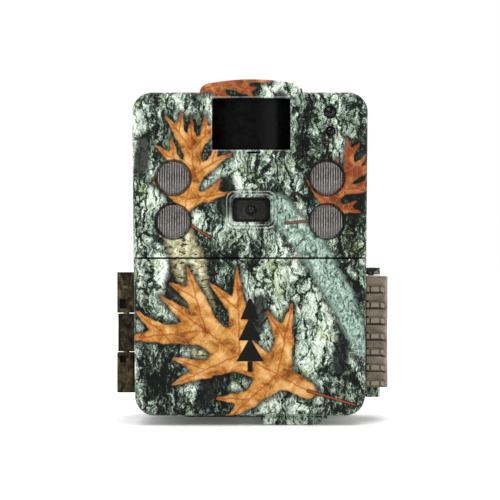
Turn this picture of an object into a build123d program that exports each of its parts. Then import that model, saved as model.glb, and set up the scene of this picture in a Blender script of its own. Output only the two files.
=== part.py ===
"""Compact strap-on trail camera, as an assembly of separate pieces.

Millimetres. +Z is up, the lens looks along -Y, and +X is to the right of someone facing the lens.
The origin is the centre of the tripod socket's mouth, on the level that the camera stands on.
The rear case is fixed; the front half is a door that carries the optics, the boards and the cells.
"""
import os

from build123d import *

os.makedirs("parts", exist_ok=True)

# ---------------------------------------------------------------- driving sizes: cells and tray
cell_radius = 7.15         # AA cells, with a little room
cell_length = 49.2
nub_radius = 2.7
nub_length = 1.2
cell_rows = 3
cell_gap = 0.3
contact_room = 2.5         # each end of a cell, for its contact
tray_wall = 1.5
tray_floor = 3.2
strip_room = 1.25          # front and back of the cells, for the retaining strips
grip_left = 3.5
grip_right = 23.9
grip_drop = 3.3            # the grip reaches the ground

# ---------------------------------------------------------------- driving sizes: the case
body_bottom = 3.3          # underside of the body above the ground
wall = 2.2                 # moulded shell wall
bay_wall = 1.4             # side walls of the cell bay
side_room = 4.9            # from the cell bay's wall to the shell's inside, at the bottom
side_lean = 1.0            # how far each side leans out over the body's height
upper_height = 54.7        # from the divider over the cells to the body's top
rear_depth = 18.0
parting_y = -9.0           # plane where the door meets the rear case
corner_radius = 6.5
skin = 2.0                 # cover thickness over its middle
cover_edge = 3.0           # cover thickness at its rim
edge_round = 1.8           # rounding of the covers' front edge
seam_gap = 0.6
part_gap = 0.3             # clearance between pieces that don't press together
slip = 0.05                # clearance between pieces that seat on each other

# ---------------------------------------------------------------- driving sizes: the optics
optics_x = 0.4
pir_width = 25.4
pir_height = 16.8
pir_drop = 14.7            # hood's top down to the sensor window's middle
pir_radius = 20.0          # curvature of the sensor window
pir_setback = 2.0          # window's crown behind the hood's rim
pir_thickness = 1.2
pir_sensor_radius = 4.6
hood_cheek = 4.3           # hood on each side of the sensor window
hood_rise = 4.0            # hood's crown above the body's top
hood_length = 31.2
hood_forward = 4.5         # how far the hood stands out of the face
hood_round = 3.2
hood_lip = 1.4             # rounding of the hood's front edge
slot_width = 3.7
slot_height = 0.7
slot_drop = 9.4            # sensor window's middle down to the slot
camera_drop = 11.6         # hood's foot down to the lens axis
window_width = 12.2
window_height = 7.8
window_corner = 1.6
frame_border = 2.0         # raised frame around the camera window
frame_step = 0.8
barrel_radius = 5.0
barrel_length = 12.0
element_radius = 1.9
ring_radius = 3.0
led_lens_radius = 5.3
led_lens_thickness = 2.2
led_rib_pitch = 1.0
led_rim = 0.8              # chamfered rim around each infrared lens
led_side_room = 3.1        # between the hood and the lamps
led_spacing = 3.8          # between the upper and the lower lamp
led_drop = 3.9             # lower lamp below the lens axis
light_side = 12.5          # light sensor in from the body's top corner
light_drop = 6.5
light_radius = 2.0
indicator_drop = 6.3       # indicator below the light sensor
indicator_radius = 1.45

# ---------------------------------------------------------------- driving sizes: hinge and latch
hinge_radius = 3.1         # half the width of the square-shouldered knuckles
hinge_side_gap = 1.36      # between the knuckles and the body's side
hinge_pin_radius = 1.0
hinge_low = 8.8
hinge_high = 50.4
knuckle_low = 22.6         # level where the lower knuckle ends
knuckle_high = 36.4        # level where the upper knuckle starts
knuckle_gap = 0.4
latch_back = 6.0           # latch pin behind the parting plane
latch_pin_radius = 1.0
latch_boss = 3.4
latch_side_gap = 0.47      # between the lever's boss and the body's side
latch_low = 11.6
latch_high = 49.2
latch_reach = 24.0         # from the pin to the lever's free end
latch_bulk = 4.4           # lever's outer face beyond its pin
rib_pitch = 5.4
rib_count = 7
ear_thickness = 2.4
ear_thickness_low = 4.4
ear_edge = 3.1             # ear beyond the pin

# ---------------------------------------------------------------- driving sizes: the back
rail_depth = 4.5
rail_width = 6.0
rail_x = 22.0
rail_foot = 14.7           # rail's ends in from the body's bottom and top
rail_head = 14.2
strap_z = 50.0
strap_height = 28.0
cable_drop = 24.2          # cable slot below the body's top
cable_height = 7.0
slot_depth = 4.4           # front-to-back room for a strap
channel_depth = 2.0        # how far the slots run into the back face
tooth_pitch = 4.0
tooth_depth = 1.0

# ---------------------------------------------------------------- driving sizes: tripod socket
insert_radius = 4.2
thread_radius = 2.55       # 1/4-20 tapping size
insert_length = 9.0
pad_width = 46.0
pad_depth = 14.0

# ---------------------------------------------------------------- driving sizes: electronics
board_thickness = 1.2
panel_thickness = 1.8
board_to_panel = 5.9       # main board's front face to the panel's
screen_x = 9.0
screen_rise = 22.8         # screen's middle above the main board's foot
screen_width = 38.0
screen_height = 32.0
screen_depth = 3.0
view_width = 31.0
view_height = 24.0
button_x = -22.0
button_radius = 3.0
button_pitch = 8.0
button_drop = 7.0          # top button below the main board's top
button_proud = 1.0
button_travel = 0.6
switch_rise = 3.8          # switch above the main board's foot
switch_travel = 4.0
card_width = 24.0
card_length = 32.0
card_thickness = 2.1
card_rise = 3.9            # card above the divider
card_proud = 0.5
jack_depth = 17.0          # jack's axis in front of the parting plane
jack_rise = 16.5           # and above the divider
jack_radius = 4.0
plug_flange = 5.2
screw_radius = 1.15
screw_head = 2.2

# ---------------------------------------------------------------- sizes that follow: cells and tray
back_y = parting_y + rear_depth
door_back = parting_y - part_gap
panel_front = door_back - panel_thickness
bay_back = door_back - wall
tray_back = bay_back - part_gap
tray_front = tray_back - 4 * cell_radius - cell_gap - 2 * strip_room
bay_front = tray_front - part_gap
row_offset = cell_radius + cell_gap / 2
row_middle = (tray_front + tray_back) / 2
tray_half = cell_length / 2 + nub_length / 2 + contact_room + tray_wall
bay_half = tray_half + part_gap
floor_top = body_bottom + tray_floor
first_cell_z = floor_top + cell_radius + cell_gap
cell_step = 2 * cell_radius + cell_gap
tray_top = first_cell_z + (cell_rows - 1) * cell_step + cell_radius + cell_gap + tray_wall
bay_top = tray_top + 1.2
divider_top = bay_top + wall
ground = body_bottom - grip_drop

# ---------------------------------------------------------------- sizes that follow: the case
body_width_bottom = 2 * (bay_half + bay_wall + side_room + wall)
body_width_top = body_width_bottom + 2 * side_lean
body_top = divider_top + upper_height
body_height = body_top - body_bottom
seam_z = divider_top - 0.1
face_y = bay_front - skin
cover_back = face_y + cover_edge
housing_front = cover_back + slip
screw_x = body_width_bottom / 2 - wall - 2.4

# ---------------------------------------------------------------- sizes that follow: the optics
hood_y = face_y - hood_forward
hood_width = pir_width + 2 * hood_cheek
hood_top = body_top + hood_rise
hood_bottom = hood_top - hood_length
pir_z = hood_top - pir_drop
slot_z = pir_z - slot_drop
camera_z = hood_bottom - camera_drop
led_x = hood_width / 2 + led_side_room + led_lens_radius
led_low = camera_z - led_drop
led_levels = (led_low + 2 * led_lens_radius + led_spacing, led_low)
light_x = body_width_top / 2 - light_side
light_z = body_top - light_drop
indicator_x = light_x + 0.2
indicator_z = light_z - indicator_drop

# ---------------------------------------------------------------- sizes that follow: the boards
main_board_y = panel_front - board_to_panel
board_back = main_board_y + board_thickness
board_top = body_top - wall - 2.0
card_z = divider_top + card_rise
main_board_low = card_z + card_thickness / 2 + 1.75
main_board_half = screw_x - 3.4
screen_z = main_board_low + screen_rise
switch_z = main_board_low + switch_rise
button_levels = [board_top - button_drop - step * button_pitch for step in range(4)]
jack_y = parting_y - jack_depth
jack_z = divider_top + jack_rise


def half_width(level):
    """Half of the body's width at a level, because its sides lean out a little."""
    return body_width_bottom / 2 + side_lean * (level - body_bottom) / body_height


# ---------------------------------------------------------------- sizes that follow: hinge and latch
hinge_x = -(half_width(hinge_high) + hinge_side_gap + hinge_radius)
latch_x = half_width(latch_high) + latch_side_gap + latch_boss
latch_y = parting_y + latch_back
latch_out = latch_x + latch_bulk
ear_out = latch_x + ear_edge
lever_in = half_width(latch_high) + 0.5
lever_front = latch_y - latch_reach
jack_wall = -half_width(jack_z)


# ---------------------------------------------------------------- helpers
def block(x0, x1, y0, y1, z0, z1):
    """Box between two corners."""
    size = Box(abs(x1 - x0), abs(y1 - y0), abs(z1 - z0))
    return Pos((x0 + x1) / 2, (y0 + y1) / 2, (z0 + z1) / 2) * size


def rod(axis, radius, start, length, at):
    """Cylinder along +X, +Y or +Z from start; at gives the two other coordinates in X, Y, Z order."""
    solid = Cylinder(radius, length, align=(Align.CENTER, Align.CENTER, Align.MIN))
    if axis == "X":
        return Pos(start, at[0], at[1]) * Rot(0, 90, 0) * solid
    if axis == "Y":
        return Pos(at[0], start, at[1]) * Rot(-90, 0, 0) * solid
    return Pos(at[0], at[1], start) * solid


def front_plate(face, y0, y1):
    """Prism of a shape drawn in X and Z, from y0 (front) to y1 (back)."""
    return extrude(Plane.XZ.offset(-y1) * face, y1 - y0)


def body_profile(inset=0.0):
    """Outline of the body seen from the front, drawn in by a wall or a gap."""
    half_low = body_width_bottom / 2 - inset
    half_high = body_width_top / 2 - inset
    low = body_bottom + inset
    high = body_top - inset
    corners = [(-half_low, low), (half_low, low), (half_high, high), (-half_high, high)]
    face = make_face(Polyline(*corners, close=True))
    return fillet(face.vertices(), max(corner_radius - inset, 1.0))


def hood_profile(inset=0.0, low=None):
    """Arched outline of the hood, with rounded shoulders."""
    low = hood_bottom + inset if low is None else low
    half = hood_width / 2 - inset
    shoulder = hood_top - 2.0 - inset
    crown = hood_top - inset
    left = Line((optics_x - half, shoulder), (optics_x - half + 0.6, low))
    base = Line(left @ 1, (optics_x + half - 0.6, low))
    right = Line(base @ 1, (optics_x + half, shoulder))
    arch = ThreePointArc(right @ 1, (optics_x, crown), left @ 0)
    face = make_face(Curve() + [left, base, right, arch])
    return fillet(face.vertices(), max(hood_round - inset, 0.6))


def window_profile(width, height, corner):
    """Rounded rectangle drawn in X and Z."""
    return RectangleRounded(width, height, corner)


def side_prism(points, x0, x1):
    """Prism of a polygon drawn in Y and Z, from x0 to x1."""
    face = make_face(Polyline(*points, close=True))
    return extrude(Plane.YZ.offset(x0) * face, x1 - x0)


def save(name, shape):
    """Writes one piece, or one group of like pieces, as its own file."""
    export_step(shape, "parts/" + name + ".step")


def group(pieces):
    """Separate like solids in one file."""
    return Compound(children=[piece.solid() for piece in pieces])


screw_places = []
for side in (-1, 1):
    for level in (seam_z + 5.6, body_top - 6.9):
        screw_places.append((side * screw_x, level))
    for level in (seam_z - 5.4, body_bottom + 6.4):
        screw_places.append((side * screw_x, level))


def knuckle(low, high, radius):
    """Square-shouldered hinge knuckle around the hinge axis."""
    face = Pos(hinge_x, parting_y) * RectangleRounded(2 * radius, 2 * radius, 1.2)
    return Pos(0, 0, low) * extrude(face, high - low)


def above(level):
    """Everything above a level."""
    return block(-100, 100, -100, 100, level, level + 200)


def below(level):
    """Everything below a level."""
    return block(-100, 100, -100, 100, level - 200, level)


# ---------------------------------------------------------------- rear case
rear_inner_back = back_y - wall
rail_low = body_bottom + rail_foot
rail_high = body_top - rail_head
slot_bands = ((strap_z, strap_height), (body_top - cable_drop, cable_height))
pad_round = 2.5
boss_wall = 2.0


def tree_rail(x):
    """Toothed rail that bites the bark and bridges the strap slots."""
    foot = back_y - 0.5
    out = back_y + rail_depth
    points = [(foot, rail_low), (out, rail_low + rail_depth), (out, rail_high - rail_depth),
              (foot, rail_high)]
    rail = side_prism(points, x - rail_width / 2, x + rail_width / 2)
    level = rail_low + rail_depth + tooth_pitch
    notches = []
    while level < rail_high - rail_depth - tooth_pitch / 2:
        cut = [(out + 0.1, level - tooth_depth), (out - tooth_depth, level),
               (out + 0.1, level + tooth_depth)]
        notches.append(side_prism(cut, x - rail_width, x + rail_width))
        level += tooth_pitch
    return rail - notches


def latch_ear(low, high):
    """Ear that carries one end of the latch pin."""
    root = half_width(low) - wall / 2
    face = Pos((root + ear_out) / 2, latch_y) * RectangleRounded(ear_out - root, 8.0, 2.2)
    ear = Pos(0, 0, low) * extrude(face, high - low)
    square = block(root, root + 2.5, latch_y - 4.0, latch_y + 4.0, low, high)
    return ear + square


def make_rear_case():
    outer = front_plate(body_profile(), parting_y, back_y)
    outer = fillet(outer.edges().group_by(Axis.Y)[-1], 4.0)
    hollow = front_plate(body_profile(wall), parting_y - 1, rear_inner_back)
    case = outer - hollow
    for level, height in slot_bands:
        reach = height / 2 + wall
        plate = block(-100, 100, rear_inner_back - channel_depth, rear_inner_back + 0.1,
                      level - reach, level + reach)
        case += plate & front_plate(body_profile(wall - 0.1), parting_y, back_y)
    for side in (-1, 1):
        case += tree_rail(side * rail_x)
    for level, height in slot_bands:
        front = back_y - channel_depth
        case -= block(-100, 100, front, front + slot_depth, level - height / 2, level + height / 2)
    pad = Pos(0, 0, ground) * extrude(RectangleRounded(pad_width, pad_depth, pad_round), grip_drop + 0.5)
    case += pad
    case += rod("Z", insert_radius + boss_wall, body_bottom,
                insert_length - body_bottom + boss_wall, (0, 0))
    case -= rod("Z", insert_radius + slip, ground - 1, insert_length + 1, (0, 0))
    for low, high in ((hinge_low, knuckle_low), (knuckle_high, hinge_high)):
        arm_in = -half_width(low) + wall / 2
        arm = block(hinge_x, arm_in, parting_y + 2 * part_gap, parting_y + hinge_radius, low, high)
        case += knuckle(low, high, hinge_radius) + arm
    window_in = parting_y - hinge_radius + 1.2
    for low, high in ((knuckle_high + 1.4, knuckle_high + 4.8), (knuckle_low - 3.4, knuckle_low - 1.0)):
        case -= block(hinge_x - 2.1, hinge_x + 0.1, parting_y - 5, window_in, low, high)
    case += latch_ear(latch_high + part_gap, latch_high + part_gap + ear_thickness)
    case += latch_ear(latch_low - part_gap - ear_thickness_low, latch_low - part_gap)
    case -= rod("Z", latch_pin_radius + slip, latch_low - 3.2, latch_high - latch_low + 7,
                (latch_x, latch_y))
    case -= rod("Z", hinge_pin_radius + slip, hinge_low - 1, hinge_high - hinge_low + 2,
                (hinge_x, parting_y))
    groove = front_plate(body_profile(gasket_inset), parting_y - 1, parting_y + gasket_sink)
    groove -= front_plate(body_profile(gasket_inset + gasket_width), parting_y - 2,
                          parting_y + 1 + gasket_sink)
    return case - groove


gasket_inset = 0.6
gasket_width = 1.0
gasket_sink = 1.0


def make_gasket():
    """Flat rubber ring in the rim's groove, just clear of the door."""
    front = parting_y - part_gap + slip
    ring = front_plate(body_profile(gasket_inset + slip), front, parting_y + gasket_sink - slip)
    inner = gasket_inset + gasket_width - slip
    return ring - front_plate(body_profile(inner), front - 1, parting_y + gasket_sink + 1)


def make_tripod_insert():
    """Knurled brass bush with the tripod thread's bore."""
    bush = rod("Z", insert_radius, ground, insert_length, (0, 0))
    for low in (insert_length * 0.25, insert_length * 0.6):
        ring = rod("Z", insert_radius + 1, low, 1.0, (0, 0)) - rod("Z", insert_radius - 0.4, low,
                                                                   1.0, (0, 0))
        bush -= ring
    return bush - rod("Z", thread_radius, ground - 1, insert_length + 2, (0, 0))


save("rear_case", make_rear_case())
save("case_gasket", make_gasket())
save("tripod_insert", make_tripod_insert())
save("hinge_pin", rod("Z", hinge_pin_radius, hinge_low + 0.3, hinge_high - hinge_low - 0.6,
                      (hinge_x, parting_y)))
save("latch_pin", rod("Z", latch_pin_radius, latch_low - 3.0, latch_high - latch_low + 5.4,
                      (latch_x, latch_y)))


# ---------------------------------------------------------------- the two printed covers
post_radius = 2.2
post_back = cover_back + 4.5
rim_width = 4.0
recess_corner = 0.3
window_room = 0.2          # all round the camera window and the lenses


def cover_plate():
    """Front cover with a rounded edge and a thinner middle, before it is cut at the seam."""
    plate = front_plate(body_profile(), face_y, cover_back)
    plate = fillet(plate.edges().group_by(Axis.Y)[0], edge_round)
    return plate - front_plate(body_profile(rim_width), face_y + skin, cover_back + 1)


def cover_posts(low, high):
    """Screw posts on the back of a cover, between two levels."""
    posts = []
    for x, level in screw_places:
        if low < level < high:
            posts.append(rod("Y", post_radius, face_y + skin - 0.5, post_back - face_y - skin + 0.5,
                             (x, level)))
    return posts


def post_bores(low, high):
    """Blind screw bores up the posts."""
    bores = []
    for x, level in screw_places:
        if low < level < high:
            bores.append(rod("Y", screw_radius + slip, face_y + skin + 0.4, 20, (x, level)))
    return bores


def hood_body():
    """Hood over the sensor window: an arch that slopes back into the face at its foot."""
    slab = front_plate(hood_profile(), hood_y, cover_back)
    slab = fillet(slab.edges().group_by(Axis.Y)[0], hood_lip)
    slope = [
        (cover_back + 1, hood_bottom - 1),
        (face_y - 0.9, hood_bottom - 1),
        (face_y - 0.9, hood_bottom + 0.4),
        (hood_y - 0.1, hood_bottom + 7.0),
        (hood_y - 0.1, hood_top + 1),
        (cover_back + 1, hood_top + 1),
    ]
    return slab & side_prism(slope, optics_x - hood_width, optics_x + hood_width)


def make_upper_faceplate():
    cover = cover_plate() & above(seam_z + seam_gap / 2)
    cover += cover_posts(seam_z, body_top)
    cover += hood_body()
    opening = window_profile(pir_width + 2 * window_room, pir_height + 2 * window_room, recess_corner)
    cover -= front_plate(Pos(optics_x, pir_z) * opening, hood_y - 1, cover_back + 1)
    slot = window_profile(slot_width, slot_height, slot_height * 0.45)
    cover -= front_plate(Pos(optics_x + 0.5, slot_z) * slot, hood_y - 1, cover_back + 1)
    frame_width = window_width + 2 * frame_border
    frame_height = window_height + 2 * frame_border + 0.4
    frame = front_plate(Pos(optics_x, camera_z) * window_profile(frame_width, frame_height, 2.8),
                        face_y - frame_step, face_y + skin)
    frame = chamfer(frame.edges().group_by(Axis.Y)[0], 0.3)
    cover += frame
    step = window_profile(frame_width - 2.2, frame_height - 2.0, 2.2)
    cover -= front_plate(Pos(optics_x, camera_z) * step, face_y - 2, face_y + 0.3)
    hole = window_profile(window_width + 2 * window_room, window_height + 2 * window_room, window_corner)
    cover -= front_plate(Pos(optics_x, camera_z) * hole, face_y - 2, cover_back + 1)
    for side in (-1, 1):
        for level in led_levels:
            cover -= rod("Y", led_lens_radius + window_room, face_y - 1, 6, (side * led_x, level))
            rim = Cone(led_lens_radius + window_room + led_rim + 0.5, led_lens_radius + window_room,
                       led_rim + 0.5)
            cover -= Pos(side * led_x, face_y + led_rim / 2 - 0.25, level) * Rot(-90, 0, 0) * rim
    cover -= rod("Y", light_radius + window_room, face_y - 1, 6, (light_x, light_z))
    cover -= rod("Y", indicator_radius + window_room, face_y - 1, 6, (indicator_x, indicator_z))
    for x, level, radius in ((light_x, light_z, light_radius),
                             (indicator_x, indicator_z, indicator_radius)):
        rim = Cone(radius + window_room + 0.8, radius + window_room, 0.8)
        cover -= Pos(x, face_y + 0.3, level) * Rot(-90, 0, 0) * rim
    return cover - post_bores(seam_z, body_top)


def make_lower_cover():
    cover = cover_plate() & below(seam_z - seam_gap / 2)
    cover += cover_posts(body_bottom, seam_z)
    cover -= block(-bay_half, bay_half, face_y + skin, cover_back + 1, body_bottom - 1, seam_z)
    return cover - post_bores(body_bottom, seam_z)


save("upper_faceplate", make_upper_faceplate())
save("lower_cover", make_lower_cover())

# ---------------------------------------------------------------- door shell
flange_y = cover_back + slip
flange = 1.6
flange_thickness = 1.0
boss_radius = 3.6
boss_front = post_back + slip
boss_length = 4.0
ridge_back = parting_y - 5.0
ledge = 1.6
panel_boss_radius = 2.4
panel_screw_radius = 0.9
panel_screw_x = body_width_top / 2 - wall - 3.8
panel_screw_places = []
for side in (-1, 1):
    panel_screw_places.append((side * panel_screw_x, body_top - 5.8))
    panel_screw_places.append((side * screw_x, divider_top + 8.5))
knuckle_inset = 0.3
keeper_out = 1.5


def make_front_housing():
    shell = front_plate(body_profile(), housing_front, door_back)
    shell -= front_plate(body_profile(wall), housing_front - 1, door_back + 1)
    inner = front_plate(body_profile(wall - 0.1), housing_front, door_back)
    shell += inner & block(-100, 100, bay_back, door_back, 0, divider_top)
    shell += inner & block(-100, 100, housing_front, door_back, bay_top, divider_top)
    for side in (-1, 1):
        x = side * bay_half
        shell += block(x, x + side * bay_wall, housing_front, bay_back + 0.1, body_bottom + 0.5,
                       bay_top + 0.5)
        shell -= block(x, 0, housing_front - 1, bay_back, body_bottom - 1, body_bottom + wall + 1)
    ring = inner - front_plate(body_profile(wall + ledge), housing_front - 1, door_back + 1)
    shell += ring & block(-100, 100, panel_front - ledge, panel_front, divider_top, 200)
    for x, level in screw_places:
        shell += rod("Y", boss_radius, boss_front, boss_length, (x, level))
    for x, level in panel_screw_places:
        shell += rod("Y", panel_boss_radius, panel_front - 7, 7, (x, level))
    for x, level in screw_places:
        shell -= rod("Y", screw_radius + slip, boss_front - 1, boss_length + 2, (x, level))
    for x, level in panel_screw_places:
        shell -= rod("Y", panel_screw_radius + slip, panel_front - 6, 7, (x, level))
    ridge = front_plate(hood_profile(0.0, body_top - 4 * hood_round), housing_front, ridge_back)
    fall = [(housing_front - 1, body_top - 1), (housing_front - 1, hood_top + 1),
            (housing_front + 2, hood_top + 1),
            (ridge_back, body_top - 0.5), (ridge_back, body_top - 1)]
    shell += ridge & side_prism(fall, -50, 50)
    half = pir_width / 2 + flange + part_gap
    notch_top = pir_z + pir_height / 2 + flange + part_gap
    notch_back = flange_y + flange_thickness + part_gap
    shell -= block(optics_x - half, optics_x + half, housing_front - 1, notch_back,
                   body_top - wall - 1, notch_top)
    low = knuckle_low + knuckle_gap
    high = knuckle_high - knuckle_gap
    root = -half_width(low) + wall / 2
    shell += knuckle(low, high, hinge_radius - knuckle_inset)
    shell += block(hinge_x, root, parting_y - hinge_radius + knuckle_inset, door_back, low, high)
    shell -= rod("Z", hinge_pin_radius + 0.08, low - 0.2, high - low + 0.4, (hinge_x, parting_y))
    keeper_x = half_width(latch_low) - 0.4
    shell += block(keeper_x, half_width(latch_high) + keeper_out, lever_front + 1, lever_front + 4,
                   latch_low + 6, latch_high - 6)
    shell -= rod("X", plug_flange + part_gap, jack_wall - 3, 3 + 1.2, (jack_y, jack_z))
    shell -= rod("X", jack_radius, jack_wall - 3, 8, (jack_y, jack_z))
    return shell


def make_control_panel():
    """Inner panel that closes the electronics bay, with the screen's and the controls' openings."""
    panel = front_plate(body_profile(wall + slip), panel_front, door_back) & above(divider_top + slip)
    recess = window_profile(view_width + 2.2, view_height + 2.2, 1.0)
    panel -= front_plate(Pos(screen_x, screen_z) * recess, door_back - 1.0, door_back + 1)
    view = window_profile(view_width, view_height, 0.8)
    panel -= front_plate(Pos(screen_x, screen_z) * view, panel_front - 1, door_back + 1)
    for level in button_levels:
        panel -= rod("Y", button_radius + button_gap, panel_front - 1, 4, (button_x, level))
    half = switch_knob / 2 + switch_travel / 2 + button_gap
    panel -= block(button_x - half, button_x + half, panel_front - 1, door_back + 1, switch_z - 1.9,
                   switch_z + 1.9)
    half = card_width / 2 + 2 * part_gap
    tall = card_thickness / 2 + 2 * part_gap
    panel -= block(screen_x - half, screen_x + half, panel_front - 1, door_back + 1, card_z - tall,
                   card_z + tall)
    for x, level in panel_screw_places:
        panel -= rod("Y", panel_screw_radius + 0.15, panel_front - 1, 4, (x, level))
    return panel


button_gap = 0.25
switch_knob = 5.0
save("front_housing", make_front_housing())
save("control_panel", make_control_panel())

# ---------------------------------------------------------------- motion sensor under the hood
crown_y = hood_y + pir_setback


def make_pir_window():
    """Black film window curved about a vertical axis, with its mounting flange."""
    middle = (optics_x, crown_y + pir_radius)
    bottom = pir_z - pir_height / 2
    drum = rod("Z", pir_radius, bottom, pir_height, middle)
    core = rod("Z", pir_radius - pir_thickness, bottom + pir_thickness,
               pir_height - 2 * pir_thickness, middle)
    half = pir_width / 2
    front_part = block(optics_x - half, optics_x + half, crown_y - 1, flange_y + 0.4, 0, 200)
    shell = (drum - core) & front_part
    wide = window_profile(pir_width + 2 * flange, pir_height + 2 * flange, 1.5)
    clear = window_profile(pir_width - 2 * pir_thickness, pir_height - 2 * pir_thickness, 0.5)
    rim = front_plate(Pos(optics_x, pir_z) * wide, flange_y, flange_y + flange_thickness)
    rim -= front_plate(Pos(optics_x, pir_z) * clear, flange_y - 1, flange_y + 2)
    return shell + rim


pir_board_y = flange_y + 10.0
pir_can_length = 4.2


def make_pir_sensor():
    """Metal can with a square dark window and a flanged foot."""
    can = rod("Y", pir_sensor_radius, pir_board_y - pir_can_length, pir_can_length, (optics_x, pir_z))
    foot = rod("Y", pir_sensor_radius + 0.5, pir_board_y - 0.7, 0.7, (optics_x, pir_z))
    port = block(optics_x - 2, optics_x + 2, pir_board_y - 6, pir_board_y - pir_can_length + 0.4,
                 pir_z - 1.5, pir_z + 1.5)
    return can + foot - port


save("pir_window", make_pir_window())
save("pir_sensor", make_pir_sensor())
save("pir_board", block(optics_x - 12, optics_x + 12, pir_board_y + slip, pir_board_y + board_thickness,
                        pir_z - 7.5, pir_z + 7.5))
save("microphone", rod("Y", 2.0, cover_back + 1.1, 2.2, (optics_x + 0.5, slot_z - 1.9)))

# ---------------------------------------------------------------- camera behind its window
glass_front = face_y + 0.6
glass_flange = 1.0
seal_thickness = 0.8
barrel_front = cover_back + slip + glass_flange + seal_thickness + 0.3
holder_half = 7.0
holder_front = barrel_front + 6.0
holder_back = barrel_front + 18.0
filter_y = barrel_front + barrel_length + 1.5
filter_thickness = 1.4
filter_travel = 7.2
filter_half = 8.4
filter_tall = 4.0
pane = 5.4
camera_board_y = holder_back + slip


def camera_plate(width, height, corner, y0, y1):
    """Rounded plate centred on the lens axis."""
    return front_plate(Pos(optics_x, camera_z) * window_profile(width, height, corner), y0, y1)


def make_camera_window():
    """Clear window with a stepped back that seats behind the cover."""
    glass = camera_plate(window_width, window_height, window_corner - 0.2, glass_front,
                         cover_back + glass_flange)
    glass = chamfer(glass.edges().group_by(Axis.Y)[0], 0.25)
    back = camera_plate(window_width + 2.4, window_height + 2.4, 1.8, cover_back + slip,
                        cover_back + glass_flange)
    return glass + back


def make_window_seal():
    front = cover_back + glass_flange + slip
    ring = camera_plate(window_width + 2.4, window_height + 2.4, 1.8, front, front + seal_thickness)
    return ring - camera_plate(window_width - 1.6, window_height - 1.6, 1.0, front - 1, front + 2)


def make_lens_barrel():
    """Threaded lens tube: a stepped nose ring, a knurled collar and the threaded length."""
    barrel = rod("Y", barrel_radius, barrel_front, barrel_length, (optics_x, camera_z))
    barrel -= rod("Y", ring_radius + 1.0, barrel_front - 1, 1.6, (optics_x, camera_z))
    barrel += rod("Y", ring_radius, barrel_front - 0.2, 1.4, (optics_x, camera_z))
    dish = Cone(ring_radius - 0.5, element_radius, 0.8)
    barrel -= Pos(optics_x, barrel_front + 0.2, camera_z) * Rot(-90, 0, 0) * dish
    return barrel - rod("Y", element_radius + slip, barrel_front - 1, barrel_length + 2,
                        (optics_x, camera_z))


def make_lens_elements():
    """Domed front glass and flat rear glass."""
    front = rod("Y", element_radius, barrel_front + 0.5, 3.0, (optics_x, camera_z))
    dome = Pos(optics_x, barrel_front + 0.6 + 2.6, camera_z) * Sphere(2.6)
    rear = rod("Y", element_radius, barrel_front + barrel_length - 2.5, 1.6, (optics_x, camera_z))
    return group([front & dome, rear])


def make_lens_holder():
    holder = block(optics_x - holder_half, optics_x + holder_half, holder_front, holder_back,
                   camera_z - holder_half, camera_z + holder_half)
    holder -= rod("Y", barrel_radius + slip, holder_front - 1, barrel_length - 5 + 1.2,
                  (optics_x, camera_z))
    gate = filter_thickness / 2 + part_gap
    tall = filter_tall + part_gap
    holder -= block(optics_x - 20, optics_x + 20, filter_y - gate, filter_y + gate, camera_z - tall,
                    camera_z + tall)
    holder -= camera_plate(7.0, 5.6, 0.5, holder_front, holder_back + 1)
    holder -= camera_plate(9.0, 7.6, 0.5, holder_back - 1.2, holder_back + 1)
    return holder


filter_x = optics_x - filter_travel / 2


def make_filter_frame():
    """Sliding frame with two square windows, one for day and one for night."""
    y0 = filter_y - filter_thickness / 2
    y1 = filter_y + filter_thickness / 2
    frame = block(filter_x - filter_half, filter_x + filter_half, y0, y1, camera_z - filter_tall,
                  camera_z + filter_tall)
    for side in (-1, 1):
        x = filter_x + side * filter_travel / 2
        opening = window_profile(pane, pane, 0.4)
        frame -= front_plate(Pos(x, camera_z) * opening, y0 - 1, y1 + 1)
    return frame


def make_filter_glass():
    """The two panes: infrared-cut glass and clear glass."""
    panes = []
    for side in (-1, 1):
        x = filter_x + side * filter_travel / 2
        opening = window_profile(pane - 2 * slip, pane - 2 * slip, 0.4)
        panes.append(front_plate(Pos(x, camera_z) * opening, filter_y - 0.4, filter_y + 0.4))
    return group(panes)


save("camera_window", make_camera_window())
save("window_seal", make_window_seal())
save("lens_barrel", make_lens_barrel())
save("lens_elements", make_lens_elements())
save("lens_holder", make_lens_holder())
save("ir_filter_frame", make_filter_frame())
save("ir_filter_glass", make_filter_glass())
save("image_sensor", camera_plate(8.0, 6.6, 0.3, camera_board_y - 1.0, camera_board_y - slip))
save("camera_board", camera_plate(22.0, 16.0, 1.0, camera_board_y, camera_board_y + board_thickness))

# ---------------------------------------------------------------- infrared lamps
lens_front = face_y + 0.5
lamp_flange = 0.9
reflector_front = cover_back + slip + lamp_flange
reflector_depth = 3.4
led_board_y = reflector_front + reflector_depth + slip
led_offset = 2.35
led_radius = 1.1


def make_led_lens(x, level):
    """Round lens with upright ribs on its front and a flange behind the cover."""
    disc = rod("Y", led_lens_radius, lens_front + 0.5, cover_back + 0.3 - lens_front, (x, level))
    ribs = []
    count = int(led_lens_radius / led_rib_pitch)
    for step in range(-count, count + 1):
        rib = rod("Z", led_rib_pitch * 0.56, level - led_lens_radius, 2 * led_lens_radius,
                  (x + step * led_rib_pitch, lens_front + 0.56))
        ribs.append(rib)
    outline = rod("Y", led_lens_radius, lens_front - 1, led_lens_thickness, (x, level))
    ribs = Part() + ribs
    flange_ring = rod("Y", led_lens_radius + 0.9, cover_back + slip, lamp_flange - slip, (x, level))
    return disc + (ribs & outline) + flange_ring


def lamp_points(x, level):
    """Four lamp positions behind one lens."""
    return [(x + i * led_offset, level + j * led_offset) for i in (-1, 1) for j in (-1, 1)]


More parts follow.
